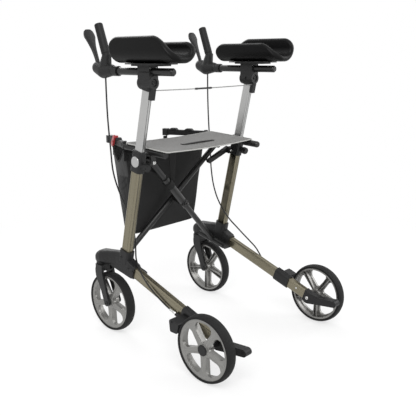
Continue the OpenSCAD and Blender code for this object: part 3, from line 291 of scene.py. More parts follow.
def turned(profile, origin, axis):
    """A profile of radius and height turned about an axis."""
    axis = unit(axis)
    first = unit(np.cross(axis, LEVEL_GUIDE if abs(axis[2]) < UPRIGHT_FROM else UPRIGHT_GUIDE))
    second = np.cross(axis, first)
    turn = circle(sizes().turned_sides)
    profile = np.asarray(profile, float)
    ring = np.cos(turn)[:, None] * first + np.sin(turn)[:, None] * second
    return np.asarray(origin) + profile[:, :1, None] * ring[None] + profile[:, 1:, None] * axis


# Profile of a screw head, in shares of its radius and height, and its height as a share of the radius
SCREW = np.array(((0.02, 0.40), (0.42, 0.40), (0.46, 0.92), (0.62, 1.0), (0.86, 0.80), (1.0, 0.40), (1.0, 0.0)))
SCREW_RISE = 0.55


def screw(place, axis, radius, height=None):
    """A domed screw head with a round socket, seated with its base at a place."""
    return turned(SCREW * (radius, height or radius * SCREW_RISE), place, axis)


def rods(name, *grids):
    """One object made of bands of closed rings with capped ends."""
    shell = Shell()
    for grid in grids:
        shell.rod(grid)
    return shell.make(name)


def thicken(thing, thickness, offset):
    """Gives a sheet its thickness: all of it under its faces at offset -1, half on each side at 0."""
    thick = thing.modifiers.new("Thickness", "SOLIDIFY")
    thick.thickness, thick.offset = thickness, offset


def sizes():
    """The sizes that a user has set."""
    return bpy.context.scene.walker_sizes


def colours():
    """The colours that a user has set."""
    return bpy.context.scene.walker_colours


def socket_group(name, inputs, outputs):
    """A shader node group with named float, colour or vector sockets, and its two end nodes."""
    group = bpy.data.node_groups.new(name, "ShaderNodeTree")
    kinds = {"f": "NodeSocketFloat", "c": "NodeSocketColor", "v": "NodeSocketVector"}
    for label, kind, value in inputs:
        made = group.interface.new_socket(name=label, in_out="INPUT", socket_type=kinds[kind])
        made.default_value = value
    for label, kind in outputs:
        group.interface.new_socket(name=label, in_out="OUTPUT", socket_type=kinds[kind])
    return group, group.nodes.new("NodeGroupInput"), group.nodes.new("NodeGroupOutput")


class Nodes:
    """Short calls for making and joining nodes of one tree."""

    def __init__(self, tree):
        self.tree = tree

    def add(self, kind, **values):
        """A new node with its settings."""
        node = self.tree.nodes.new(kind)
        for key, value in values.items():
            setattr(node, key, value)
        return node

    def join(self, a, b):
        """Links an output to an input."""
        self.tree.links.new(a, b)

    def feed(self, value, slot):
        """Links a socket to an input, or sets the input to a plain value."""
        if isinstance(value, bpy.types.NodeSocket):
            self.join(value, slot)
        else:
            slot.default_value = value

    def math(self, operation, *values):
        """A Math node; each value is a number or a socket."""
        node = self.add("ShaderNodeMath", operation=operation)
        for slot, value in zip(node.inputs, values):
            self.feed(value, slot)
        return node.outputs[0]

    def noise(self, vector, scale, detail=3.0, rough=0.55):
        """The value of a noise at a place; its scale is a number or a socket."""
        node = self.add("ShaderNodeTexNoise")
        for label, value in (("Vector", vector), ("Scale", scale), ("Detail", detail), ("Roughness", rough)):
            self.feed(value, node.inputs[label])
        return node.outputs["Fac"]

    def bump(self, height, distance, normal=None):
        """The normal of a height at its distance, laid over another normal where one is given."""
        node = self.add("ShaderNodeBump")
        self.feed(height, node.inputs["Height"])
        self.feed(distance, node.inputs["Distance"])
        if normal is not None:
            self.join(normal, node.inputs["Normal"])
        return node.outputs["Normal"]


def tone_group():
    """Slow cloudy change of a colour: noise moves its brightness by Amount either way."""
    group, start, end = socket_group(
        "Tone", (("Colour", "c", (0.5, 0.5, 0.5, 1)), ("Amount", "f", 0.1), ("Scale", "f", 20.0)),
        (("Colour", "c"),))
    n = Nodes(group)
    place = n.add("ShaderNodeTexCoord")
    cloud = n.noise(place.outputs["Object"], start.outputs["Scale"], 5.0)
    shift = n.math("MULTIPLY", n.math("SUBTRACT", cloud, 0.5), n.math("MULTIPLY", start.outputs["Amount"], 2.0))
    tint = n.add("ShaderNodeHueSaturation")
    n.join(start.outputs["Colour"], tint.inputs["Color"])
    n.join(n.math("ADD", shift, 1.0), tint.inputs["Value"])
    n.join(tint.outputs["Color"], end.inputs["Colour"])
    return group


def edge_group():
    """Rubbed edges and painted highlight: edges painted paler where the rounded normal leaves the flat one,
    broken up by noise.
    """
    group, start, end = socket_group(
        "Edge wear and highlight", (("Radius", "f", 0.001), ("Amount", "f", 0.5)), (("Mask", "f"), ("Normal", "v")))
    n = Nodes(group)
    place = n.add("ShaderNodeTexCoord")
    bevel = n.add("ShaderNodeBevel", samples=4)
    n.join(start.outputs["Radius"], bevel.inputs["Radius"])
    flat = n.add("ShaderNodeNewGeometry")
    dot = n.add("ShaderNodeVectorMath", operation="DOT_PRODUCT")
    n.join(bevel.outputs["Normal"], dot.inputs[0])
    n.join(flat.outputs["Normal"], dot.inputs[1])
    bend = n.math("SUBTRACT", 1.0, dot.outputs["Value"])
    rub = n.noise(place.outputs["Object"], 260.0, 4.0)
    # Paler edges: part rubbed wear, part painted highlight along every edge
    paled = n.math("MULTIPLY", n.math("MULTIPLY", bend, rub), n.math("MULTIPLY", start.outputs["Amount"], 6.0))
    n.join(n.math("MINIMUM", paled, 1.0), end.inputs["Mask"])
    n.join(bevel.outputs["Normal"], end.inputs["Normal"])
    return group


def grain_group():
    """Fine moulded grain: noise cells as a shallow bump."""
    group, start, end = socket_group(
        "Grain", (("Scale", "f", 900.0), ("Depth", "f", 0.0001), ("Normal", "v", (0, 0, 0))),
        (("Normal", "v"), ("Mask", "f")))
    n = Nodes(group)
    place = n.add("ShaderNodeTexCoord")
    cells = n.noise(place.outputs["Object"], start.outputs["Scale"], 2.0, 0.6)
    n.join(n.bump(cells, start.outputs["Depth"], start.outputs["Normal"]), end.inputs["Normal"])
    n.join(cells, end.inputs["Mask"])
    return group


def weave_group():
    """Plain weave on the cloth's own map: crossing sine threads, over and under by turns."""
    group, start, end = socket_group(
        "Weave", (("Pitch", "f", 0.0012), ("Depth", "f", 0.0002)), (("Normal", "v"), ("Mask", "f")))
    n = Nodes(group)
    lay = n.add("ShaderNodeUVMap", uv_map="cloth")
    split = n.add("ShaderNodeSeparateXYZ")
    n.join(lay.outputs["UV"], split.inputs[0])
    turns = n.math("DIVIDE", math.pi, start.outputs["Pitch"])
    u = n.math("SINE", n.math("MULTIPLY", split.outputs["X"], turns))
    v = n.math("SINE", n.math("MULTIPLY", split.outputs["Y"], turns))
    threads = n.math("ADD", n.math("MULTIPLY", n.math("MULTIPLY", u, v), 0.5), 0.5)
    n.join(n.bump(threads, start.outputs["Depth"]), end.inputs["Normal"])
    n.join(threads, end.inputs["Mask"])
    return group


def streak_group():
    """Drawn lines along a tube: noise stretched along Z after turning by Tilt about X."""
    group, start, end = socket_group(
        "Drawn lines", (("Tilt", "f", 0.0), ("Depth", "f", 0.00003), ("Normal", "v", (0, 0, 0))),
        (("Normal", "v"), ("Mask", "f")))
    n = Nodes(group)
    place = n.add("ShaderNodeTexCoord")
    turn = n.add("ShaderNodeVectorRotate", rotation_type="X_AXIS")
    n.join(place.outputs["Object"], turn.inputs["Vector"])
    n.join(start.outputs["Tilt"], turn.inputs["Angle"])
    stretch = n.add("ShaderNodeMapping")
    stretch.inputs["Scale"].default_value = (900.0, 900.0, 9.0)
    n.join(turn.outputs["Vector"], stretch.inputs["Vector"])
    lines = n.noise(stretch.outputs["Vector"], 1.0, 3.0)
    n.join(n.bump(lines, start.outputs["Depth"], start.outputs["Normal"]), end.inputs["Normal"])
    n.join(lines, end.inputs["Mask"])
    return group


GROUPS = {}


def group(name):
    """A shared node group, built at its first use."""
    makers = {"Tone": tone_group, "Edge wear and highlight": edge_group, "Grain": grain_group, "Weave": weave_group,
              "Drawn lines": streak_group}
    if name not in GROUPS:
        GROUPS[name] = makers[name]()
    return GROUPS[name]


def placed(n, name, **values):
    """A shared group placed in a material with its own values."""
    node = n.add("ShaderNodeGroup", node_tree=group(name))
    for label, value in values.items():
        n.feed(value, node.inputs[label])
    return node


def spread(n, mask, low, high):
    """A mask from 0 to 1 spread between two values."""
    node = n.add("ShaderNodeMapRange")
    n.join(mask, node.inputs["Value"])
    node.inputs["To Min"].default_value = low
    node.inputs["To Max"].default_value = high
    return node.outputs["Result"]


def mixed(n, mask, a, b):
    """Two colours mixed by a mask; each is a colour or a socket."""
    node = n.add("ShaderNodeMix", data_type="RGBA")
    n.join(mask, node.inputs["Factor"])
    # A Mix node has inputs and outputs of every kind: 6, 7 and output 2 are those for colours
    for slot, value in ((node.inputs[6], a), (node.inputs[7], b)):
        n.feed(value if isinstance(value, bpy.types.NodeSocket) else (*value, 1.0), slot)
    return node.outputs[2]


def shade(colour, factor):
    """A colour made darker or lighter by a factor, up to full."""
    return tuple(min(1.0, c * factor) for c in colour)


def surface(name, **plain):
    """A material with one Principled shader whose plain sockets are set."""
    made = bpy.data.materials.new(name)
    made.use_nodes = True
    shader = made.node_tree.nodes["Principled BSDF"]
    for label, value in plain.items():
        shader.inputs[label.replace("_", " ")].default_value = value
    return made, Nodes(made.node_tree), shader


def moulded(name, colour, rough=(0.38, 0.52), scale=1100.0, depth=0.00012, edge=0.0012, light=1.9, **plain):
    """Moulded plastic or rubber: grain, cloudy tone and paler edges, part rubbed wear and part painted
    highlight.
    """
    made, n, shader = surface(name, **plain)
    tone = placed(n, "Tone", Colour=(*colour, 1.0), Amount=0.14, Scale=24.0)
    edges = placed(n, "Edge wear and highlight", Radius=edge, Amount=0.5)
    grain = placed(n, "Grain", Scale=scale, Depth=depth, Normal=edges.outputs["Normal"])
    pale = shade(colour, light)
    # Painted highlight and wear: the edges get a paler colour
    n.join(mixed(n, edges.outputs["Mask"], tone.outputs["Colour"], pale), shader.inputs["Base Color"])
    n.join(spread(n, grain.outputs["Mask"], *rough), shader.inputs["Roughness"])
    n.join(grain.outputs["Normal"], shader.inputs["Normal"])
    return made


def drawn_metal(name, colour, tilt, rough=(0.22, 0.34), metal=0.9, light=1.5):
    """Drawn or extruded metal: lines along the tube, cloudy tone and bright edges, part wear and part painted
    highlight.
    """
    made, n, shader = surface(name, Metallic=metal)
    tone = placed(n, "Tone", Colour=(*colour, 1.0), Amount=0.07, Scale=9.0)
    edges = placed(n, "Edge wear and highlight", Radius=0.0011, Amount=0.6)
    lines = placed(n, "Drawn lines", Tilt=tilt, Depth=0.00002, Normal=edges.outputs["Normal"])
    pale = shade(colour, light)
    # Painted highlight and wear: the edges get a brighter colour
    n.join(mixed(n, edges.outputs["Mask"], tone.outputs["Colour"], pale), shader.inputs["Base Color"])
    n.join(spread(n, lines.outputs["Mask"], *rough), shader.inputs["Roughness"])
    n.join(lines.outputs["Normal"], shader.inputs["Normal"])
    return made


def cloth(name, colour, pitch=0.0014, depth=0.00025, dark=0.62, rough=(0.72, 0.9)):
    """Woven cloth on the piece's own map: threads change its colour, roughness and bump, and the hollows
    between them are darker, a painted shade.
    """
    made, n, shader = surface(name)
    tone = placed(n, "Tone", Colour=(*colour, 1.0), Amount=0.10, Scale=16.0)
    weave = placed(n, "Weave", Pitch=pitch, Depth=depth)
    # Painted shade: a darker copy of the colour for the weave's hollows
    deep = placed(n, "Tone", Colour=(*shade(colour, dark), 1.0), Amount=0.10, Scale=16.0)
    threads = mixed(n, weave.outputs["Mask"], deep.outputs["Colour"], tone.outputs["Colour"])
    n.join(threads, shader.inputs["Base Color"])
    n.join(spread(n, weave.outputs["Mask"], rough[1], rough[0]), shader.inputs["Roughness"])
    n.join(weave.outputs["Normal"], shader.inputs["Normal"])
    return made


# Radii between which a tyre's sidewall turns to its tread, and the tread's ribs
TREAD_FROM, TREAD_TO = 0.0955, 0.0975
RIB_PITCH, RIB_DEPTH, RIB_WEAR = 0.0036, 0.0006, 0.6


def tread(name, colour, centre):
    """Tyre rubber: fine ribs round the tread and a plain sidewall, about one wheel's axle."""
    made, n, shader = surface(name, Specular_IOR_Level=0.2)
    place = n.add("ShaderNodeTexCoord")
    about = n.add("ShaderNodeMapping")
    about.inputs["Location"].default_value = tuple(-c for c in centre)
    n.join(place.outputs["Object"], about.inputs["Vector"])
    split = n.add("ShaderNodeSeparateXYZ")
    n.join(about.outputs["Vector"], split.inputs[0])
    squares = [n.math("POWER", split.outputs[axis], 2.0) for axis in "YZ"]
    crown = n.add("ShaderNodeMapRange", interpolation_type="SMOOTHSTEP")
    n.join(n.math("SQRT", n.math("ADD", *squares)), crown.inputs["Value"])
    crown.inputs["From Min"].default_value = TREAD_FROM
    crown.inputs["From Max"].default_value = TREAD_TO
    wave = n.math("SINE", n.math("MULTIPLY", split.outputs["X"], 2 * math.pi / RIB_PITCH))
    ribs = n.math("MULTIPLY", n.math("ADD", n.math("MULTIPLY", wave, 0.5), 0.5), crown.outputs["Result"])
    tone = placed(n, "Tone", Colour=(*colour, 1.0), Amount=0.18, Scale=30.0)
    grain = placed(n, "Grain", Scale=700.0, Depth=0.00012, Normal=n.bump(ribs, RIB_DEPTH))
    paled = mixed(n, n.math("MULTIPLY", ribs, RIB_WEAR), tone.outputs["Colour"], shade(colour, 1.5))
    n.join(paled, shader.inputs["Base Color"])
    n.join(spread(n, grain.outputs["Mask"], 0.58, 0.8), shader.inputs["Roughness"])
    n.join(grain.outputs["Normal"], shader.inputs["Normal"])
    return made


FINISH = {}


def finish(name):
    """A finish by name, made at its first use."""
    c = colours()
    makers = {
        "upright": lambda: drawn_metal("Anodised upright", c.anodised, -LEAN),
        "rail": lambda: drawn_metal("Anodised rail", c.anodised, math.pi / 2 - RAIL_SLOPE),
        # Painted shade: darkened anodising for the strip that stands in for the shade in the upright's channel
        "channel": lambda: drawn_metal("Painted shade strip", shade(c.anodised, 0.66), -LEAN, rough=(0.4, 0.52)),
        "silver": lambda: drawn_metal("Silver tube", c.silver, -LEAN, rough=(0.24, 0.36), metal=0.95),
        "disc": lambda: drawn_metal("Silver disc", c.silver, math.pi / 2, rough=(0.3, 0.42)),
        "wire": lambda: drawn_metal("Tie wire", shade(c.steel, 0.4), 0.0, rough=(0.3, 0.42), metal=0.8),
        "steel": lambda: drawn_metal("Screw steel", c.steel, 0.0, rough=(0.2, 0.32), metal=1.0),
        "plastic": lambda: moulded("Moulded plastic", c.plastic, Specular_IOR_Level=0.25),
        "smooth": lambda: moulded(
            "Smooth plastic", c.plastic, rough=(0.26, 0.38), scale=1400.0, depth=0.00005,
            Specular_IOR_Level=0.28),
        "lever": lambda: moulded(
            "Lever plastic", shade(c.plastic, 0.9), scale=1300.0, depth=0.0001, Specular_IOR_Level=0.28),
        "coated": lambda: moulded(
            "Coated tube", c.coated, rough=(0.24, 0.36), scale=1600.0, depth=0.00004,
            Specular_IOR_Level=0.34),
        "rubber": lambda: moulded(
            "Grip rubber", shade(c.plastic, 0.8), rough=(0.45, 0.62), scale=1500.0, depth=0.00016, edge=0.0015,
            light=1.4, Specular_IOR_Level=0.2),
        "cable": lambda: moulded(
            "Cable sheath", c.cable, rough=(0.3, 0.42), scale=1800.0, depth=0.00004, edge=0.0004, light=1.3,
            Specular_IOR_Level=0.3),
        "pad": lambda: moulded(
            "Pad skin", c.pad, rough=(0.34, 0.46), scale=620.0, depth=0.00016, edge=0.002, light=1.6,
            Specular_IOR_Level=0.12),
        "rim": lambda: moulded(
            "Wheel rim", c.rim, rough=(0.26, 0.36), scale=1500.0, depth=0.00003, edge=0.0013, light=1.7,
            Metallic=0.55),
        "red": lambda: moulded(
            "Red catch", c.catch, rough=(0.28, 0.4), scale=1300.0, depth=0.00006, edge=0.001, light=1.3),
        "piping": lambda: moulded(
            "Seat piping", c.piping, rough=(0.6, 0.75), scale=1500.0, depth=0.0001, edge=0.0005, light=1.2),
        "webbing": lambda: moulded(
            "Webbing", c.bag, rough=(0.6, 0.78), scale=900.0, depth=0.0003, edge=0.0006, light=1.3,
            Specular_IOR_Level=0.2),
        "thread": lambda: moulded(
            "Thread", shade(c.piping, 0.75), rough=(0.6, 0.8), scale=1800.0, depth=0.0001, edge=0.0003,
            light=1.2),
        "seat": lambda: cloth("Seat cloth", c.seat),
        "bag": lambda: cloth("Bag cloth", c.bag, pitch=0.0016, depth=0.0003, dark=0.55),
        "panel": lambda: cloth("Bag panel", shade(c.bag, 4.2), pitch=0.0012, depth=0.0002, dark=0.7),
    }
    if name not in FINISH:
        FINISH[name] = makers[name]()
    return FINISH[name]


def dress(thing, finish_name, body=None):
    """Gives a new piece its finish, and lets it ride on a body."""
    thing.data.materials.append(finish(finish_name))
    if body:
        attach(thing, body)
    return thing


NODE_FINISH = {
    "upright_tube": "upright", "lower_rail": "rail", "inner_tube": "silver", "badge": "disc", "knee": "plastic",
    "collar": "plastic", "brake_housing": "smooth", "axle_bracket": "plastic", "post_head": "plastic",
    "arm_plate": "plastic", "grip_housing": "lever", "brake_lever": "lever", "brake_shoe": "plastic",
    "height_knob": "plastic", "caster_fork": "smooth", "hub_cap": "plastic", "fold_link": "plastic",
    "bag_arm": "plastic", "handle_tube": "coated", "seat_rail": "coated", "grip": "rubber",
    "caster_rim": "rim", "rear_rim": "rim",
}


class WALKER_OT_finishes(Operator):
    """Gives every solid that shows its finish"""

    bl_idname = "walker.finishes"
    bl_label = "Finishes of the solids"

    def execute(self, context):
        def wear(node, made):
            NODES[node].data.materials.clear()
            NODES[node].data.materials.append(made)

        for side, _ in SIDES:
            for piece, name in NODE_FINISH.items():
                wear(f"{side}_{piece}", finish(name))
            for piece in ("caster_tyre", "rear_tyre"):
                low, high = (np.array(c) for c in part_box(f"{side}_{piece}"))
                wear(f"{side}_{piece}", tread(f"Tread {side} {piece}", colours().tyre, (low + high) / 2))
        for node, name in (("front_brace", "coated"), ("rear_brace", "coated"), ("latch", "red")):
            wear(node, finish(name))
        return {"FINISHED"}


# Half a pad's width and its low wall's height, and how far the foam passes its solid at the ends and on top
PAD_HALF_WIDTH, PAD_INNER_HEIGHT = 0.0525, 0.058
PAD_REAR_SWELL, PAD_FRONT_SWELL, PAD_TOP_SWELL = 0.010, 0.003, 0.003
# Powers of the round and the swept corners; reach of the thinned ends, in edges, and how far they thin
PAD_ROUND, PAD_SWEEP = 2.0, 1.55
PAD_END_REACH, PAD_END_THINNING = 1.4, 0.96
# Stations over each end and over the middle, places over each rim and from rim to rim
PAD_END_STEPS, PAD_MIDDLE_STEPS, PAD_RIM_STEPS, PAD_BAND_STEPS = 44, 8, 9, 61
PAD_SHARP = 50.0


def pad_floor():
    """Half the width of the trough's flat floor."""
    return PAD_HALF_WIDTH - sizes().pad_thickness / 2 - sizes().pad_bend


def pad_point(along, lift):
    """Points of the trough's section: a flat floor, a quarter circle to each side, then straight walls.

    along runs over the middle of the foam from the middle of the floor, and lift leaves it square to it.
    """
    s = sizes()
    flat = pad_floor()
    far = np.abs(along)
    turn = np.clip((far - flat) / s.pad_bend, 0, np.pi / 2)
    x = np.minimum(far, flat) + s.pad_bend * np.sin(turn)
    wall = np.maximum(far - flat - s.pad_bend * np.pi / 2, 0)
    z = s.pad_thickness / 2 + s.pad_bend * (1 - np.cos(turn)) + wall
    return np.sign(along) * (x - lift * np.sin(turn)), z + lift * np.cos(turn)


def corner_drop(gap, reach, power):
    """How far a rim draws in at a gap from the end: a quarter of a superellipse of the given power."""
    share = np.clip(1 - gap / reach, 0, 1)
    return reach * (1 - (1 - share ** power) ** (1 / power))


def forearm_pad(name, sign, side_box):
    """A thick sheet of foam with round corners, bent to a trough whose outer wall is the higher.

    Both pads are the same piece, turned half round: laid flat, two opposite corners are round and the
    other two sweep in along a superellipse. Rims and ends are rounded by quarter ellipses.
    """
    s = sizes()
    low, high = (np.array(c) for c in side_box)
    rear, front = low[1] - PAD_REAR_SWELL, high[1] + PAD_FRONT_SWELL
    height, edge = high[2] - low[2] + PAD_TOP_SWELL, s.pad_edge
    rise = pad_floor() + s.pad_bend * np.pi / 2 - s.pad_bend - s.pad_thickness / 2
    # Stations along the pad, closer where the corners and the end edges turn
    turn = s.pad_high_sweep * (1 - np.sin(np.linspace(0, np.pi / 2, PAD_END_STEPS)))
    middle = np.linspace(rear + turn[0], front - turn[0], PAD_MIDDLE_STEPS)[1:-1]
    y = np.concatenate((rear + turn[::-1], middle, front - turn))
    near, far = (y - rear, front - y) if sign < 0 else (front - y, y - rear)
    high_drop = corner_drop(near, s.pad_high_sweep, PAD_SWEEP) + corner_drop(far, s.pad_corner, PAD_ROUND)
    low_drop = corner_drop(far, s.pad_low_sweep, PAD_SWEEP) + corner_drop(near, s.pad_corner, PAD_ROUND)
    end = np.clip(1 - np.minimum(near, far) / (PAD_END_REACH * edge), 0, 1)
    half = s.pad_thickness / 2 * np.sqrt(1 - PAD_END_THINNING * end ** 2)
    inner = -(rise + PAD_INNER_HEIGHT) + low_drop
    outer = rise + height - high_drop
    # The band round the section: along the underside from rim to rim, then back along the trough
    quarter = np.linspace(0, np.pi / 2, PAD_RIM_STEPS)
    share = np.pad(np.linspace(0, 1, PAD_BAND_STEPS), PAD_RIM_STEPS - 1, mode="edge")
    inset, depth = (np.concatenate((rim[:-1], np.ones(PAD_BAND_STEPS), rim[-2::-1]))
                    for rim in (1 - np.cos(quarter), np.sin(quarter)))
    start = (inner + edge)[:, None] + (outer - inner - 2 * edge)[:, None] * share
    along = start + edge * (1 - inset) * np.where(share < 0.5, -1, 1)
    under = -half[:, None] * depth
    along = np.concatenate((along, along[:, -2:0:-1]), axis=1)
    lift = np.concatenate((under, -under[:, -2:0:-1]), axis=1)
    x, z = pad_point(along, lift)
    grid = np.stack((sign * (POST_X + x), np.broadcast_to(y[:, None], x.shape), low[2] + z), axis=-1)
    shell = Shell()
    shell.add(grid, close_u=True)
    last = len(share) - 1
    for row in (0, -1):
        back = np.concatenate((grid[row, :1], grid[row, :last:-1], grid[row, last:last + 1]))
        shell.add(np.stack((grid[row, :last + 1], back)))
    return shell.make(name, PAD_SHARP)


class WALKER_OT_pads(Operator):
    """Makes the two forearm pads"""

    bl_idname = "walker.pads"
    bl_label = "Forearm pads"

    def execute(self, context):
        for side, sign in SIDES:
            node = f"{side}_arm_pad"
            pad = forearm_pad(f"{side}_forearm_pad", sign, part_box(node))
            dress(pad, "pad", f"{side}_post")
            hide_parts(node)
        return {"FINISHED"}


# Edges of the seat in its own frame, its corners' radius and the least radius of a row inside them
SEAT_BACK, SEAT_FRONT, SEAT_HALF = -0.118, 0.074, 0.2005
SEAT_CORNER, SEAT_LEAST_CORNER, SEAT_CORNER_STEPS = 0.010, 0.002, 8
# Rows over each end and over the middle of the cloth, and places across it
SEAT_END_ROWS, SEAT_ROWS, SEAT_COLUMNS = 7, 40, 81
# Gap from cloth to rail, half width over which it bears there, and the sheet's share of the thickness
SEAT_CLEAR, SEAT_BEARING, SEAT_SHEET = 0.0004, 0.012, 0.9
# The fold draws the cloth towards the left rail, to this share of its width
PIPING_RADIUS, PIPING_SIDES, PIPING_INSET, PIPING_STEPS = 0.0019, 10, 0.0004, 260
STITCH_INSETS, STITCH_STEPS, STITCH_CLEAR = (0.007, 0.0105), 300, 0.0001
STITCH_LENGTH, STITCH_RADIUS, STITCH_ARCH, STITCH_SIDES = 0.0032, 0.0004, 0.0002, 5
WEBBING_THICKNESS = 0.0022
# Pull handle: its start, length and width, the bow between its sewn ends and the sideways step at its start
HANDLE_X, HANDLE_Y, HANDLE_LENGTH, HANDLE_WIDTH = -0.063, -0.046, 0.142, 0.011
HANDLE_ACROSS, HANDLE_CLEAR, HANDLE_PLACES = (0, 1, 0.06), 0.0012, 60
HANDLE_SEWN, HANDLE_BOW, HANDLE_BOW_POWER = 0.1, 0.0016, 0.6
HANDLE_STEP, HANDLE_STEP_SHARE = 0.006, 0.08
# Lifting strap: its top end on the seat, its loop round the brace and how far up from there it is held
STRAP_TOP_X, STRAP_TOP_Y, STRAP_WIDTH, STRAP_PLACES = -0.107, -0.044, 0.030, 30
LOOP_U, LOOP_N, LOOP_RADIUS, LOOP_CLEAR = 0.272, 0.004, 0.0147, 0.0012
LOOP_FROM, LOOP_TO, LOOP_PLACES, LOOP_HOLD = math.radians(-75), math.radians(255), 40, 0.03


def seat_height(x):
    """Height of the seat's top over the rails: it dips as a parabola between them."""
    span = np.clip(np.abs(x) / (SEAT_RAIL_X - SEAT_BEARING), 0, 1)
    return SEAT_RAIL_R + SEAT_CLEAR + sizes().seat_cloth - sizes().seat_sag * (1 - span ** 2)


def seat_outline(inset, count, lift):
    """Places along the seat's outline, drawn in by inset and raised by lift over the cloth's top.

    The outline has straight sides and round corners, and its places are evenly spaced.
    """
    half, back, front = SEAT_HALF - inset, SEAT_BACK + inset, SEAT_FRONT - inset
    r = max(SEAT_CORNER - inset, SEAT_LEAST_CORNER)
    quarter = np.linspace(0, np.pi / 2, SEAT_CORNER_STEPS)
    arcs = []
    for cx, cy, degrees in ((half - r, back + r, -90), (half - r, front - r, 0),
                            (r - half, front - r, 90), (r - half, back + r, 180)):
        turn = quarter + np.radians(degrees)
        arcs.append(np.stack((cx + r * np.cos(turn), cy + r * np.sin(turn)), axis=-1))
    ring = np.concatenate((*arcs, arcs[0][:1]))
    run = run_length(ring)
    even = np.linspace(0, run[-1], count, endpoint=False)
    x, y = (np.interp(even, run, ring[:, k]) for k in range(2))
    return on_seat(x, y, seat_height(x) + lift)


def stitches(shell, path):
    """A row of thread stitches laid along a path, each a short tube with thin, sunk ends."""
    pitch, run = sizes().stitch_pitch, run_length(path)
    reach = STITCH_LENGTH * np.array((-0.5, -0.25, 0.25, 0.5))
    lift = STITCH_ARCH * np.array((-1.0, 1.0, 1.0, -1.0))[:, None] * (0, 0, 1)
    radius = STITCH_RADIUS * np.array((0.5, 1.0, 1.0, 0.5))
    for at in np.arange(pitch, run[-1] - pitch, pitch):
        line = np.stack([np.interp(at + reach, run, path[:, k]) for k in range(3)], axis=-1)
        shell.rod(tube(line + lift, radius, STITCH_SIDES))


class WALKER_OT_seat(Operator):
    """Makes the seat's cloth, its piping and stitches, pull handle and lifting strap"""

    bl_idname = "walker.seat"
    bl_label = "Seat"

    def execute(self, context):
        cloth_top, piping, thread, handle = self.cover(), self.piping(), self.stitching(), self.handle()
        for piece in (cloth_top, piping, thread, handle):
            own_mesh(piece)
        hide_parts("seat")
        self.strap()
        return {"FINISHED"}

    def cover(self):
        """Cloth: rows from back to front, each as wide as the outline there."""
        deep = SEAT_FRONT - SEAT_BACK
        rear = np.linspace(0, SEAT_CORNER, SEAT_END_ROWS)
        middle = np.linspace(SEAT_CORNER, deep - SEAT_CORNER, SEAT_ROWS)
        front = np.linspace(deep - SEAT_CORNER, deep, SEAT_END_ROWS)
        v = np.concatenate((rear[:-1], middle, front[1:]))
        edge = np.clip(np.minimum(v, deep - v), 0, SEAT_CORNER)
        half = SEAT_HALF - SEAT_CORNER + np.sqrt(np.maximum(SEAT_CORNER ** 2 - (SEAT_CORNER - edge) ** 2, 0))
        x = half[:, None] * np.linspace(-1, 1, SEAT_COLUMNS)[None]
        y = np.broadcast_to((SEAT_BACK + v)[:, None], x.shape)
        shell = Shell()
        shell.add(on_seat(x, y, seat_height(x)), uv=np.stack((x, y), axis=-1))
        made = dress(shell.make("seat_cloth", outward=False), "seat", "left_rail")
        if made.data.polygons[0].normal.z < 0:
            made.data.flip_normals()
        thicken(made, sizes().seat_cloth * SEAT_SHEET, -1.0)
        return made

    def piping(self):
        """Piping round the edge, at half the cloth's thickness."""
        shell = Shell()
        path = seat_outline(PIPING_INSET, PIPING_STEPS, -sizes().seat_cloth / 2)
        shell.hoop(path, PIPING_RADIUS, PIPING_SIDES)
        return dress(shell.make("seat_piping"), "piping", "left_rail")

    def stitching(self):
        """Two rows of stitches inside the edge."""
        shell = Shell()
        for inset in STITCH_INSETS:
            path = seat_outline(inset, STITCH_STEPS, STITCH_CLEAR)
            stitches(shell, np.concatenate((path, path[:1])))
        return dress(shell.make("seat_stitches"), "thread", "left_rail")

    def handle(self):
        """Pull handle: a webbing band, sewn down at both ends and bowed up between them."""
        t = np.linspace(0, 1, HANDLE_PLACES)
        free = np.clip((t - HANDLE_SEWN) / (1 - 2 * HANDLE_SEWN), 0, 1)
        bow = HANDLE_BOW * np.sin(np.pi * free) ** HANDLE_BOW_POWER
        x = HANDLE_X + HANDLE_LENGTH * t
        y = HANDLE_Y + HANDLE_STEP * np.clip(HANDLE_STEP_SHARE - t, 0, 1) / HANDLE_STEP_SHARE
        path = on_seat(x, y, seat_height(x) + HANDLE_CLEAR + bow)
        band = ribbon(path, HANDLE_ACROSS, HANDLE_WIDTH, WEBBING_THICKNESS)
        return dress(rods("seat_pull_handle", band), "webbing", "left_rail")

    def strap(self):
        """Lifting strap: from the seat's underside down to a loop round the rear brace's sleeve."""
        loop = leaning((CROSS_U - LOOP_U) / math.tan(BRACE_SLOPE), LOOP_N, LOOP_U)
        along = leaning(-math.cos(BRACE_SLOPE), 0, math.sin(BRACE_SLOPE)) - leaning(0, 0, 0)
        top = on_seat(STRAP_TOP_X, STRAP_TOP_Y, SEAT_RAIL_R - SEAT_CLEAR - sizes().seat_sag)
        face = unit(np.cross(along, top - loop))
        up = unit(np.cross(face, along))
        turn = np.linspace(LOOP_FROM, LOOP_TO, LOOP_PLACES)[:, None]
        ring = loop + LOOP_RADIUS * (np.cos(turn) * face + np.sin(turn) * up)
        t = np.linspace(0, 1, STRAP_PLACES)[:, None]
        rise = (loop + up * (LOOP_RADIUS + LOOP_CLEAR)) * (1 - t) + top * t
        width = unit(along * (1 - t) + np.array((-1.0, 0, 0)) * t)
        bands = [ribbon(path, across, STRAP_WIDTH, WEBBING_THICKNESS)
                 for path, across in ((ring, along), (rise, width))]
        strap = dress(rods("seat_lift_strap", *bands), "webbing")
        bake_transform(strap)


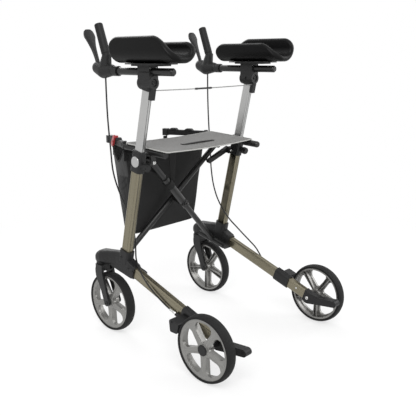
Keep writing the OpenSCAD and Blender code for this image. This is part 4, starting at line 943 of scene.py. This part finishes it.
# The bag's back and front edges, top, base and half widths; dip of the side walls' rims, radius of the corners
BAG_BACK_TOP, BAG_BACK_LOW = KNUCKLE_Y + 0.004, KNUCKLE_Y + 0.018
BAG_FRONT_TOP, BAG_FRONT_LOW = 0.570600 - MID_Y, 0.530600 - MID_Y
BAG_TOP_Z, BAG_LOW_Z = KNUCKLE_Z - 0.020, KNUCKLE_Z - 0.308
BAG_BACK_TOP_X, BAG_BACK_LOW_X, BAG_FRONT_TOP_X, BAG_FRONT_LOW_X = 0.188, 0.143, 0.1308, 0.123
BAG_DIP, BAG_DIP_POWER, BAG_ROUND = 0.040, 1.2, 0.014
# The back wall's share of the swell, and the power of the swell over the height
BAG_BACK_SWELL, BAG_SWELL_POWER = 0.35, 0.7
# Folds of the walls: depth, and turns across and up
BAG_CREASE, BAG_CREASE_X, BAG_CREASE_Z = 0.0012, 40, 30
# Places along each side and round each corner, rows of the walls, and the lowest row's share of the height
BAG_EDGES, BAG_TURNS, BAG_ROWS, BAG_LOWEST = 24, 8, 46, 0.045
# The bag's base: its round edge, then rings drawn in step by step, with the slack of the cloth between them
BASE_EDGE, BASE_EDGE_STEPS = 0.0126, 8
BASE_SHARE, BASE_RINGS, BASE_STEP, BASE_SLACK, BASE_SLACK_TURN = 0.03, 4, 0.009, 0.0008, 1.5
BASE_INNER_RINGS, BASE_HOLE = 8, 0.02
# The paler upper panels of the side walls
PANEL_FACING, PANEL_LOW_Z = 0.75, 0.515
BINDING_RADIUS, BINDING_SIDES, BINDING_LIFT = 0.0021, 10, 0.0005
SEAM_SHARES, SEAM_RADIUS, CORNER_SEAM_RADIUS, SEAM_SIDES = (0.60, 0.71), 0.0011, 0.0014, 8
# Hanging straps: places of the back and front ones, and how far they run below and above the rim
HANGERS = ((BAG_BACK_TOP_X - 0.008, BAG_BACK_TOP + 0.0015), (BAG_FRONT_TOP_X - 0.013, BAG_FRONT_TOP - 0.0015))
HANGER_BELOW, HANGER_ABOVE, HANGER_WIDTH, HANGER_PLACES = 0.030, 0.0114, 0.020, 14


def bag_ring(t, draw_in=0.0):
    """Outline of the bag at a share t of its height: four swelling sides and round corners.

    Each side bows out as a sine along it, most at mid height, and each corner is a quadratic arc.
    Gives the places, and for each the share of its side's bow (0 on a corner) and the side's number.
    """
    t = np.atleast_1d(t)[:, None]

    def at_height(low, top):
        return low + (top - low) * t

    back_x = at_height(BAG_BACK_LOW_X, BAG_BACK_TOP_X) - draw_in
    front_x = at_height(BAG_FRONT_LOW_X, BAG_FRONT_TOP_X) - draw_in
    back = at_height(BAG_BACK_LOW, BAG_BACK_TOP) + draw_in
    front = at_height(BAG_FRONT_LOW, BAG_FRONT_TOP) - draw_in
    corner = [np.concatenate(place, axis=1)
              for place in ((-back_x, back), (back_x, back), (front_x, front), (-front_x, front))]
    e = np.linspace(0, 1, BAG_EDGES)[None, :, None]
    q = np.linspace(0, 1, BAG_TURNS + 2)[1:-1][None, :, None]
    arch = np.sin(np.pi * e[0, :, 0])
    swell = sizes().bag_swell * np.sin(np.pi * np.clip(t, 0, 1)) ** BAG_SWELL_POWER
    runs, shares, numbers = [], [], []
    for k in range(4):
        a, b, c = corner[k], corner[(k + 1) % 4], corner[(k + 2) % 4]
        ab, bc = unit(b - a), unit(c - b)
        start, stop, after = a + ab * BAG_ROUND, b - ab * BAG_ROUND, b + bc * BAG_ROUND
        normal = np.stack((ab[:, 1], -ab[:, 0]), axis=-1)
        bow = (BAG_BACK_SWELL if k == 0 else 1.0) * (swell * arch)[..., None] * normal[:, None]
        runs.append(start[:, None] * (1 - e) + stop[:, None] * e + bow)
        runs.append((1 - q) ** 2 * stop[:, None] + 2 * q * (1 - q) * b[:, None] + q ** 2 * after[:, None])
        shares += [arch, np.zeros(BAG_TURNS)]
        numbers.append(np.full(BAG_EDGES + BAG_TURNS, k))
    return np.concatenate(runs, axis=1), np.concatenate(shares), np.concatenate(numbers)


def bag_walls():
    """Rows of the bag's walls from the lowest to the rim, and the side's number for each column.

    The side walls' rims dip, and shallow folds run over the cloth.
    """
    t = np.linspace(BAG_LOWEST, 1, BAG_ROWS)
    flat, share, number = bag_ring(t)
    dip = BAG_DIP * np.where(number % 2 == 1, share, 0.0) ** BAG_DIP_POWER
    z = BAG_LOW_Z + t[:, None] * (BAG_TOP_Z - dip[None] - BAG_LOW_Z)
    folds = BAG_CREASE * np.sin(BAG_CREASE_X * flat[..., 0] + BAG_CREASE_Z * z) * np.sin(np.pi * t)[:, None]
    return np.concatenate((flat + folds[..., None] * (0, 1), z[..., None]), axis=-1), number


def bag_base(lowest_z):
    """Rings of the bag's base from its middle out to the walls' lowest row, and its middle."""
    turn = np.linspace(0, np.pi / 2, BASE_EDGE_STEPS)[1:-1]
    rings = [bag_ring(BAG_LOWEST, BASE_EDGE * (1 - math.cos(a)))[0][0] for a in turn]
    rings += [bag_ring(BASE_SHARE, BASE_EDGE + k * BASE_STEP)[0][0] for k in range(BASE_RINGS)]
    slack = BASE_SLACK * np.sin(np.linspace(0, BASE_SLACK_TURN, BASE_RINGS))
    drop = np.concatenate((BASE_EDGE * np.sin(turn), BASE_EDGE + slack))
    outer = np.stack([np.column_stack((ring, np.full(len(ring), lowest_z - d)))
                      for ring, d in zip(rings, drop)])
    middle = outer[-1].mean(axis=0)
    shrink = np.linspace(1, BASE_HOLE, BASE_INNER_RINGS)[1:, None, None]
    inner = outer[-1][None] * shrink + middle * (1 - shrink)
    return np.concatenate((inner[::-1], outer[::-1])), middle


class WALKER_OT_bag(Operator):
    """Makes the bag's shell, its bound rim and seams, and its hanging straps"""

    bl_idname = "walker.bag"
    bl_label = "Bag"

    def execute(self, context):
        walls, number = bag_walls()
        bag, binding, straps = self.cover(walls), self.binding(walls, number), self.hangers()
        for piece in (bag, binding, straps):
            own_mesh(piece)
        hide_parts("bag")
        return {"FINISHED"}

    def cover(self, walls):
        """Base and walls in one cloth, with paler upper panels on the two sides."""
        base, middle = bag_base(walls[0, 0, 2])
        grid = np.concatenate((base, walls))
        lay = np.stack((run_length(grid, axis=1), run_length(grid, axis=0)), axis=-1)
        shell = Shell()
        shell.add(grid, close_u=True, uv=lay)
        hub = np.broadcast_to(middle, grid[:1].shape)
        shell.add(np.concatenate((hub, grid[:1])), close_u=True, uv=np.concatenate((lay[:1], lay[:1])))
        bag = dress(shell.make("bag_shell"), "bag", "left_rail")
        bag.data.materials.append(finish("panel"))
        centre = np.array([p.center for p in bag.data.polygons])
        normal = np.array([p.normal for p in bag.data.polygons])
        upper = (np.abs(normal[:, 0]) > PANEL_FACING) & (centre[:, 2] > PANEL_LOW_Z)
        bag.data.polygons.foreach_set("material_index", upper.astype(np.int32))
        thicken(bag, sizes().bag_cloth, -1.0)
        return bag

    def binding(self, walls, number):
        """Bound rim, two seams across each side wall and one up two of the corners."""
        shell = Shell()
        shell.hoop(walls[-1] + (0, 0, BINDING_LIFT), BINDING_RADIUS, BINDING_SIDES)
        for side in (1, 3):
            pick = np.flatnonzero(number == side)[:BAG_EDGES]
            for share in SEAM_SHARES:
                shell.rod(tube(walls[int(share * (BAG_ROWS - 1)), pick], SEAM_RADIUS, SEAM_SIDES))
        for corner in (0, 2):
            pick = np.flatnonzero(number == corner)[-BAG_TURNS // 2]
            shell.rod(tube(walls[:, pick], CORNER_SEAM_RADIUS, SEAM_SIDES))
        return dress(shell.make("bag_binding"), "webbing", "left_rail")

    def hangers(self):
        """Hanging straps up to the bag arms."""
        bands = []
        for _, sign in SIDES:
            for x, y in HANGERS:
                path = np.linspace((sign * x, y, BAG_TOP_Z - HANGER_BELOW),
                                   (sign * x, y, BAG_TOP_Z + HANGER_ABOVE), HANGER_PLACES)
                bands.append(ribbon(path, (1, 0, 0), HANGER_WIDTH, WEBBING_THICKNESS))
        return dress(rods("bag_straps", *bands), "webbing", "left_rail")


# Routes of the two brake cables in the rear axle's frame, x outwards, from the grip to the brake
CABLE_ROUTES = {
    "left": ((0.231, 0.461, 0.834), (0.231, 0.461, 0.768), (0.231, 0.459, 0.700), (0.231, 0.452, 0.620),
             (0.231, 0.444, 0.544), (0.226, 0.424, 0.480), (0.212, 0.392, 0.400), (0.211, 0.372, 0.330),
             (0.211, 0.371, 0.295), (0.218, 0.362, 0.270), (0.231, 0.340, 0.255), (0.244, 0.312, 0.241),
             (0.247, 0.283, 0.215), (0.247, 0.253, 0.1925), (0.247, 0.220, 0.174), (0.2465, 0.188, 0.1585),
             (0.246, 0.1493, 0.1457)),
    "right": ((0.231, 0.461, 0.834), (0.231, 0.461, 0.768), (0.231, 0.459, 0.700), (0.231, 0.454, 0.617),
              (0.231, 0.448, 0.538), (0.226, 0.440, 0.488), (0.216, 0.420, 0.433), (0.211, 0.392, 0.380),
              (0.210, 0.348, 0.328), (0.213, 0.295, 0.287), (0.224, 0.257, 0.252), (0.240, 0.238, 0.224),
              (0.247, 0.221, 0.196), (0.247, 0.200, 0.172), (0.2465, 0.176, 0.156), (0.246, 0.1493, 0.1457)),
}
# Places to a span of a route; the places where the cable is held by the post and by the frame
CABLE_STEPS, CABLE_SIDES = 12, 14
CABLE_SPLIT, CABLE_HELD = 2 * CABLE_STEPS, 5 * CABLE_STEPS
# Ferrule: two sleeves in one profile of radius and height, set back from the cable's end
FERRULE = ((0.0030, 0.0), (0.0042, 0.001), (0.0042, 0.012), (0.0034, 0.0125), (0.0034, 0.014),
           (0.0046, 0.0145), (0.0046, 0.024), (0.0036, 0.026))
FERRULE_BACK, FERRULE_AIM = 0.0335, 8
WIRE_RADIUS, WIRE_SIDES, WIRE_PLACES, WIRE_SAG, WIRE_KEEP = 0.0015, 10, 60, 0.002, 0.325
# One end of the wire's sleeve, radius and height; the other end is its mirror image
SLEEVE_X = -0.018
SLEEVE_END = np.array(((0.0028, 0.025), (0.0032, 0.026), (0.0032, 0.034), (0.0026, 0.0375), (0.0015, 0.038)))


class WALKER_OT_cables(Operator):
    """Makes the brake cables, their ferrules and the wire between the height tubes"""

    bl_idname = "walker.cables"
    bl_label = "Cables and wire"

    def execute(self, context):
        for side, sign in SIDES:
            route = (np.array(CABLE_ROUTES[side]) - (0, MID_Y, 0)) * (sign, 1, 1)
            path = smooth_path(route, CABLE_STEPS)
            rings = tube(path, sizes().cable_radius, CABLE_SIDES)
            upper = dress(rods(f"{side}_cable_upper", rings[:CABLE_SPLIT + 1]), "cable")
            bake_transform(upper)
            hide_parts(f"{side}_brake_cable")
            lower = dress(rods(f"{side}_cable_lower", rings[CABLE_SPLIT:]), "cable")
            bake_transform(lower)
            way = unit(path[-1] - path[-FERRULE_AIM])
            ferrule = rods(f"{side}_cable_ferrule", turned(FERRULE, path[-1] - way * FERRULE_BACK, way))
            dress(ferrule, "steel", f"{side}_frame")
        self.wire()
        return {"FINISHED"}

    def wire(self):
        """Thin wire from clip to clip with a moulded sleeve near its middle; it sags a little."""
        low, high = (np.array(c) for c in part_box("wire"))
        x = np.linspace(low[0], high[0], WIRE_PLACES)
        y, z = (low[1] + high[1]) / 2, (low[2] + high[2]) / 2
        sag = WIRE_SAG * (1 - (x / high[0]) ** 2)
        path = np.stack((x, np.full(WIRE_PLACES, y), z - sag), axis=-1)
        line = rods("tie_wire", tube(path, WIRE_RADIUS, WIRE_SIDES))
        dress(line, "wire", "left_post")
        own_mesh(line)
        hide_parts("wire")
        profile = np.concatenate((SLEEVE_END[::-1] * (1, -1), SLEEVE_END))
        sleeve = rods("tie_wire_sleeve", turned(profile, (SLEEVE_X, y, z - WIRE_SAG), (1, 0, 0)))
        dress(sleeve, "cable", "left_post")
        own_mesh(sleeve)


# Faces that the screws of a side sit on, across the walker; the wheels' axles and the caster's fork
OUTER_FACE, RAIL_FACE, INNER_FACE, LINK_X = POST_X + 0.016, POST_X + 0.015, POST_X - 0.011, 0.2125
AXLE_Z, CASTER_X, CASTER_Y, FORK_HALF = 0.1, 0.2355, 0.469 - MID_Y, 0.0265
BACKWARDS = leaning(0, 0, 0) - leaning(0, 1, 0)
# Screws where the braces meet the seat rails: body, side and how far ahead the brace lies; their seats' depth
RAIL_SCREWS = (("left_rail", -1.0, 0.004), ("right_rail", 1.0, 0.053))
RAIL_SCREW_SEAT, CROSS_SCREW_N = 0.0164, -0.009
# Dark strip of painted shade in the upright's inner channel, standing in for the shade on its face, and the
# channel's ends
STRIP_X, STRIP_HALF, STRIP_CROWN = POST_X - 0.01035, 0.0122, 0.0003
STRIP_COLUMNS, STRIP_THICKNESS = 15, 0.0002
UPRIGHT_LOW, UPRIGHT_HIGH = 0.071, 0.3375
# Dark lines of painted shade where the tubes' grooves lie: tube, its body, their distance from its middle,
# their face, and their two ends
GROOVE_SHADE_LINES = (("upright", "frame", 0.0054, -0.018, UPRIGHT_LOW, UPRIGHT_HIGH),
                   ("height_tube", "post", 0.0042, -0.0155, 0.392, 0.592))
LINE_WIDTH, LINE_THICKNESS = 0.0013, 0.0003


def side_screws(sign):
    """The screws of one side: name, finish, slot and body of each piece, and its heads.

    A head's numbers are its place on the rail, on the upright's line or in the walker's frame, its
    direction, its radius and, if it is not the usual one, its height.
    """
    out = np.array((sign, 0, 0))
    return (
        ("frame_screws", "coated", "black_metal", "frame", (
            screw(on_rail(sign * OUTER_FACE, 0.360, 0.006), out, 0.0042),
            screw(on_rail(sign * OUTER_FACE, 0.379, 0.006), out, 0.0042),
            screw(leaning(sign * OUTER_FACE, 0.008, 0.046), out, 0.0042),
            screw(on_rail(sign * RAIL_FACE, 0.082, 0.008), out, 0.0036))),
        ("bright_screws", "steel", "silver", "frame", (
            screw(leaning(sign * LINK_X, 0.008, 0.351), BACKWARDS, 0.0050),
            screw(on_rail(sign * INNER_FACE, 0.034, 0.003), -out, 0.0032),
            screw((sign * INNER_FACE, -MID_Y, AXLE_Z), -out, 0.0062))),
        ("caster_bolts", "coated", "black_metal", "fork", (
            screw((sign * CASTER_X - FORK_HALF, CASTER_Y, AXLE_Z), (-1.0, 0, 0), 0.0066, 0.0035),
            screw((sign * CASTER_X + FORK_HALF, CASTER_Y, AXLE_Z), (1.0, 0, 0), 0.0066, 0.0035))),
        ("plate_screws", "steel", "silver", "post", (
            screw((sign * POST_X - 0.012, HEAD_Y - 0.020, HEAD_Z + 0.041), (0, -1, 0), 0.0028),
            screw((sign * POST_X + 0.012, HEAD_Y - 0.020, HEAD_Z + 0.041), (0, -1, 0), 0.0028))),
        ("head_screws", "coated", "black_metal", "post", (
            screw((sign * POST_X, HEAD_Y - 0.021, HEAD_Z), (0, -1, 0), 0.0050),)),
    )


class WALKER_OT_fasteners(Operator):
    """Makes the screw heads, the dark strips that paint shade in the frame's channels and the dark lines that
    paint the shade of grooves
    """

    bl_idname = "walker.fasteners"
    bl_label = "Fasteners and strips"

    def execute(self, context):
        for side, sign in SIDES:
            for name, look, slot, body, heads in side_screws(sign):
                dress(rods(f"{side}_{name}", *heads), look, f"{side}_{body}")
            self.strip(side, sign)
            self.lines(side, sign)
        head = screw(leaning(0, CROSS_SCREW_N, CROSS_U), BACKWARDS, 0.0075)
        dress(rods("cross_screw", head), "coated", "brace_b")
        for body, sign, n in RAIL_SCREWS:
            head = screw(leaning(sign * BRACE_TOP_X, n - RAIL_SCREW_SEAT, BRACE_TOP_U), BACKWARDS, 0.0066)
            dress(rods(f"{body}_screw", head), "steel", body)
        return {"FINISHED"}

    def strip(self, side, sign):
        """A dark strip with a shallow crown in the inner channel of the upright: painted shade for the face
        that lies in shadow.
        """
        across = np.linspace(-1, 1, STRIP_COLUMNS)
        x = sign * (STRIP_X - STRIP_CROWN * (1 - across ** 2))
        rows = np.linspace(UPRIGHT_LOW, UPRIGHT_HIGH, 3)
        grid = [[leaning(a, b * STRIP_HALF, u) for a, b in zip(x, across)] for u in rows]
        shell = Shell()
        shell.add(np.array(grid))
        made = shell.make(f"{side}_painted_shade_strip", outward=False)
        # Painted shade: the strip is darkened to stand in for the shade on the channel's face
        dress(made, "channel", f"{side}_frame")
        thicken(made, STRIP_THICKNESS, 0.0)

    def lines(self, side, sign):
        """Dark lines down the rear faces of the upright and of the height tube: painted shade of grooves."""
        for tube_name, body, x, n, low, high in GROOVE_SHADE_LINES:
            bands = []
            for place in (sign * POST_X - x, sign * POST_X + x):
                path = np.linspace(leaning(place, n, low), leaning(place, n, high), 3)
                bands.append(ribbon(path, (1, 0, 0), LINE_WIDTH, LINE_THICKNESS))
            # Painted shade: thin black bands stand in for the shade in the tubes' grooves
            dress(rods(f"{side}_{tube_name}_lines", *bands), "coated", f"{side}_{body}")


# Camera as fitted to the photograph: place, turn from +Y, tip down and roll in degrees, lens and sensor in mm
CAMERA_PLACE, CAMERA_TURN, CAMERA_TIP, CAMERA_ROLL = (-1.4521, -1.0832 - MID_Y, 0.9008), 47.45, 13.917, -0.231
CAMERA_LENS, CAMERA_SENSOR = 53.76, 36.0
# Lamps: name, place, size and power, all aimed at one point
LAMPS = (("Key", (-1.6, -1.4, 2.6), 1.8, 62.0), ("Fill", (2.4, -1.6, 1.8), 2.0, 34.0),
         ("Back", (0.6, 2.4, 2.2), 1.8, 40.0))
LAMP_AIM = (0, 0, 0.5)
# Light of the world on surfaces, and what is added where it is seen
WORLD_LIGHT, WORLD_SEEN = 0.58, 0.42
WHITE = (1, 1, 1, 1)
FLOOR_SIZE, FLOOR_COLOUR, FLOOR_ROUGHNESS = 60, (0.92, 0.92, 0.92, 1.0), 0.9
# Distances from the middle over which the floor fades to white, and its share of white there
FLOOR_FADE = {"From Min": 0.5, "From Max": 1.7, "To Min": 0.66, "To Max": 1.0}


def seen_directly(n):
    """1 on rays from the camera and on those of reflections and glass, else 0."""
    ray = n.add("ShaderNodeLightPath")
    through = n.math("MAXIMUM", ray.outputs["Is Glossy Ray"], ray.outputs["Is Transmission Ray"])
    return n.math("MAXIMUM", ray.outputs["Is Camera Ray"], through)


class WALKER_OT_stage(Operator):
    """Makes the floor, the lights and the camera"""

    bl_idname = "walker.stage"
    bl_label = "Stage"

    def execute(self, context):
        scene = context.scene
        scene.view_settings.view_transform = "Standard"
        self.camera(scene)
        self.lights(scene)
        self.floor()
        return {"FINISHED"}

    def camera(self, scene):
        """Camera at the photograph's place: turned, tipped down and rolled by a hair."""
        turn, tip, roll = (math.radians(a) for a in (CAMERA_TURN, CAMERA_TIP, CAMERA_ROLL))
        ahead = Vector((math.sin(turn) * math.cos(tip), math.cos(turn) * math.cos(tip), -math.sin(tip)))
        right = Vector((math.cos(turn), -math.sin(turn), 0.0))
        up = right.cross(ahead)
        across = right * math.cos(roll) + up * math.sin(roll)
        upright = up * math.cos(roll) - right * math.sin(roll)
        data = bpy.data.cameras.new("Camera")
        data.sensor_width, data.lens = CAMERA_SENSOR, CAMERA_LENS
        eye = bpy.data.objects.new("Camera", data)
        facing = Matrix((across, upright, -ahead)).transposed().to_4x4()
        eye.matrix_world = Matrix.Translation(CAMERA_PLACE) @ facing
        scene.collection.objects.link(eye)
        scene.camera = eye

    def lights(self, scene):
        """Three large soft lamps, and a pale world that the camera and reflections see as white."""
        for name, place, size, power in LAMPS:
            data = bpy.data.lights.new(name, "AREA")
            data.size, data.energy = size, power
            lamp = bpy.data.objects.new(name, data)
            lamp.location = place
            lamp.rotation_euler = (Vector(LAMP_AIM) - Vector(place)).to_track_quat("-Z", "Y").to_euler()
            scene.collection.objects.link(lamp)
        world = bpy.data.worlds.new("Studio")
        scene.world = world
        world.use_nodes = True
        n = Nodes(world.node_tree)
        back = world.node_tree.nodes["Background"]
        back.inputs["Color"].default_value = WHITE
        strength = n.math("ADD", n.math("MULTIPLY", seen_directly(n), WORLD_SEEN), WORLD_LIGHT)
        n.join(strength, back.inputs["Strength"])

    def floor(self):
        """A wide pale floor: the camera sees it near white, with the walker's shadow."""
        bpy.ops.mesh.primitive_plane_add(size=FLOOR_SIZE)
        ground = bpy.context.object
        ground.name = "floor"
        made, n, shader = surface("Pale floor", Roughness=FLOOR_ROUGHNESS)
        tone = placed(n, "Tone", Colour=FLOOR_COLOUR, Amount=0.01, Scale=3.0)
        n.join(tone.outputs["Colour"], shader.inputs["Base Color"])
        glow = n.add("ShaderNodeEmission")
        glow.inputs["Color"].default_value = WHITE
        place = n.add("ShaderNodeTexCoord")
        reach = n.add("ShaderNodeVectorMath", operation="LENGTH")
        n.join(place.outputs["Object"], reach.inputs[0])
        fade = n.add("ShaderNodeMapRange", interpolation_type="SMOOTHSTEP")
        n.join(reach.outputs["Value"], fade.inputs["Value"])
        for label, value in FLOOR_FADE.items():
            fade.inputs[label].default_value = value
        blend = n.add("ShaderNodeMixShader")
        n.join(n.math("MULTIPLY", seen_directly(n), fade.outputs["Result"]), blend.inputs["Fac"])
        n.join(shader.outputs["BSDF"], blend.inputs[1])
        n.join(glow.outputs["Emission"], blend.inputs[2])
        out = made.node_tree.nodes["Material Output"]
        n.join(blend.outputs["Shader"], out.inputs["Surface"])
        ground.data.materials.append(made)


OPERATORS = (WALKER_OT_stage, WALKER_OT_finishes, WALKER_OT_cables, WALKER_OT_pads, WALKER_OT_seat,
             WALKER_OT_bag, WALKER_OT_fasteners)


class WALKER_PT_panel(Panel):
    """Lists the walker's pieces and settings"""

    bl_idname = "WALKER_PT_panel"
    bl_label = "Upright walker"
    bl_space_type = "VIEW_3D"
    bl_region_type = "UI"
    bl_category = "Walker"

    def draw(self, context):
        for operator in OPERATORS:
            self.layout.operator(operator.bl_idname)
        for settings in (context.scene.walker_sizes, context.scene.walker_colours):
            box = self.layout.box()
            for name in settings.bl_rna.properties.keys():
                if name not in ("rna_type", "name"):
                    box.prop(settings, name)


CLASSES = (WalkerSizes, WalkerColours, *OPERATORS, WALKER_PT_panel)


def register():
    """Adds the operators, the panel and the settings."""
    for kind in CLASSES:
        bpy.utils.register_class(kind)
    bpy.types.Scene.walker_sizes = PointerProperty(type=WalkerSizes)
    bpy.types.Scene.walker_colours = PointerProperty(type=WalkerColours)


def unregister():
    """Takes them away again."""
    del bpy.types.Scene.walker_colours
    del bpy.types.Scene.walker_sizes
    for kind in reversed(CLASSES):
        bpy.utils.unregister_class(kind)


def main():
    """Dresses the walker piece by piece."""
    register()
    for operator in OPERATORS:
        group_name, action = operator.bl_idname.split(".")
        getattr(getattr(bpy.ops, group_name), action)()


if __name__ == "__main__":
    main()
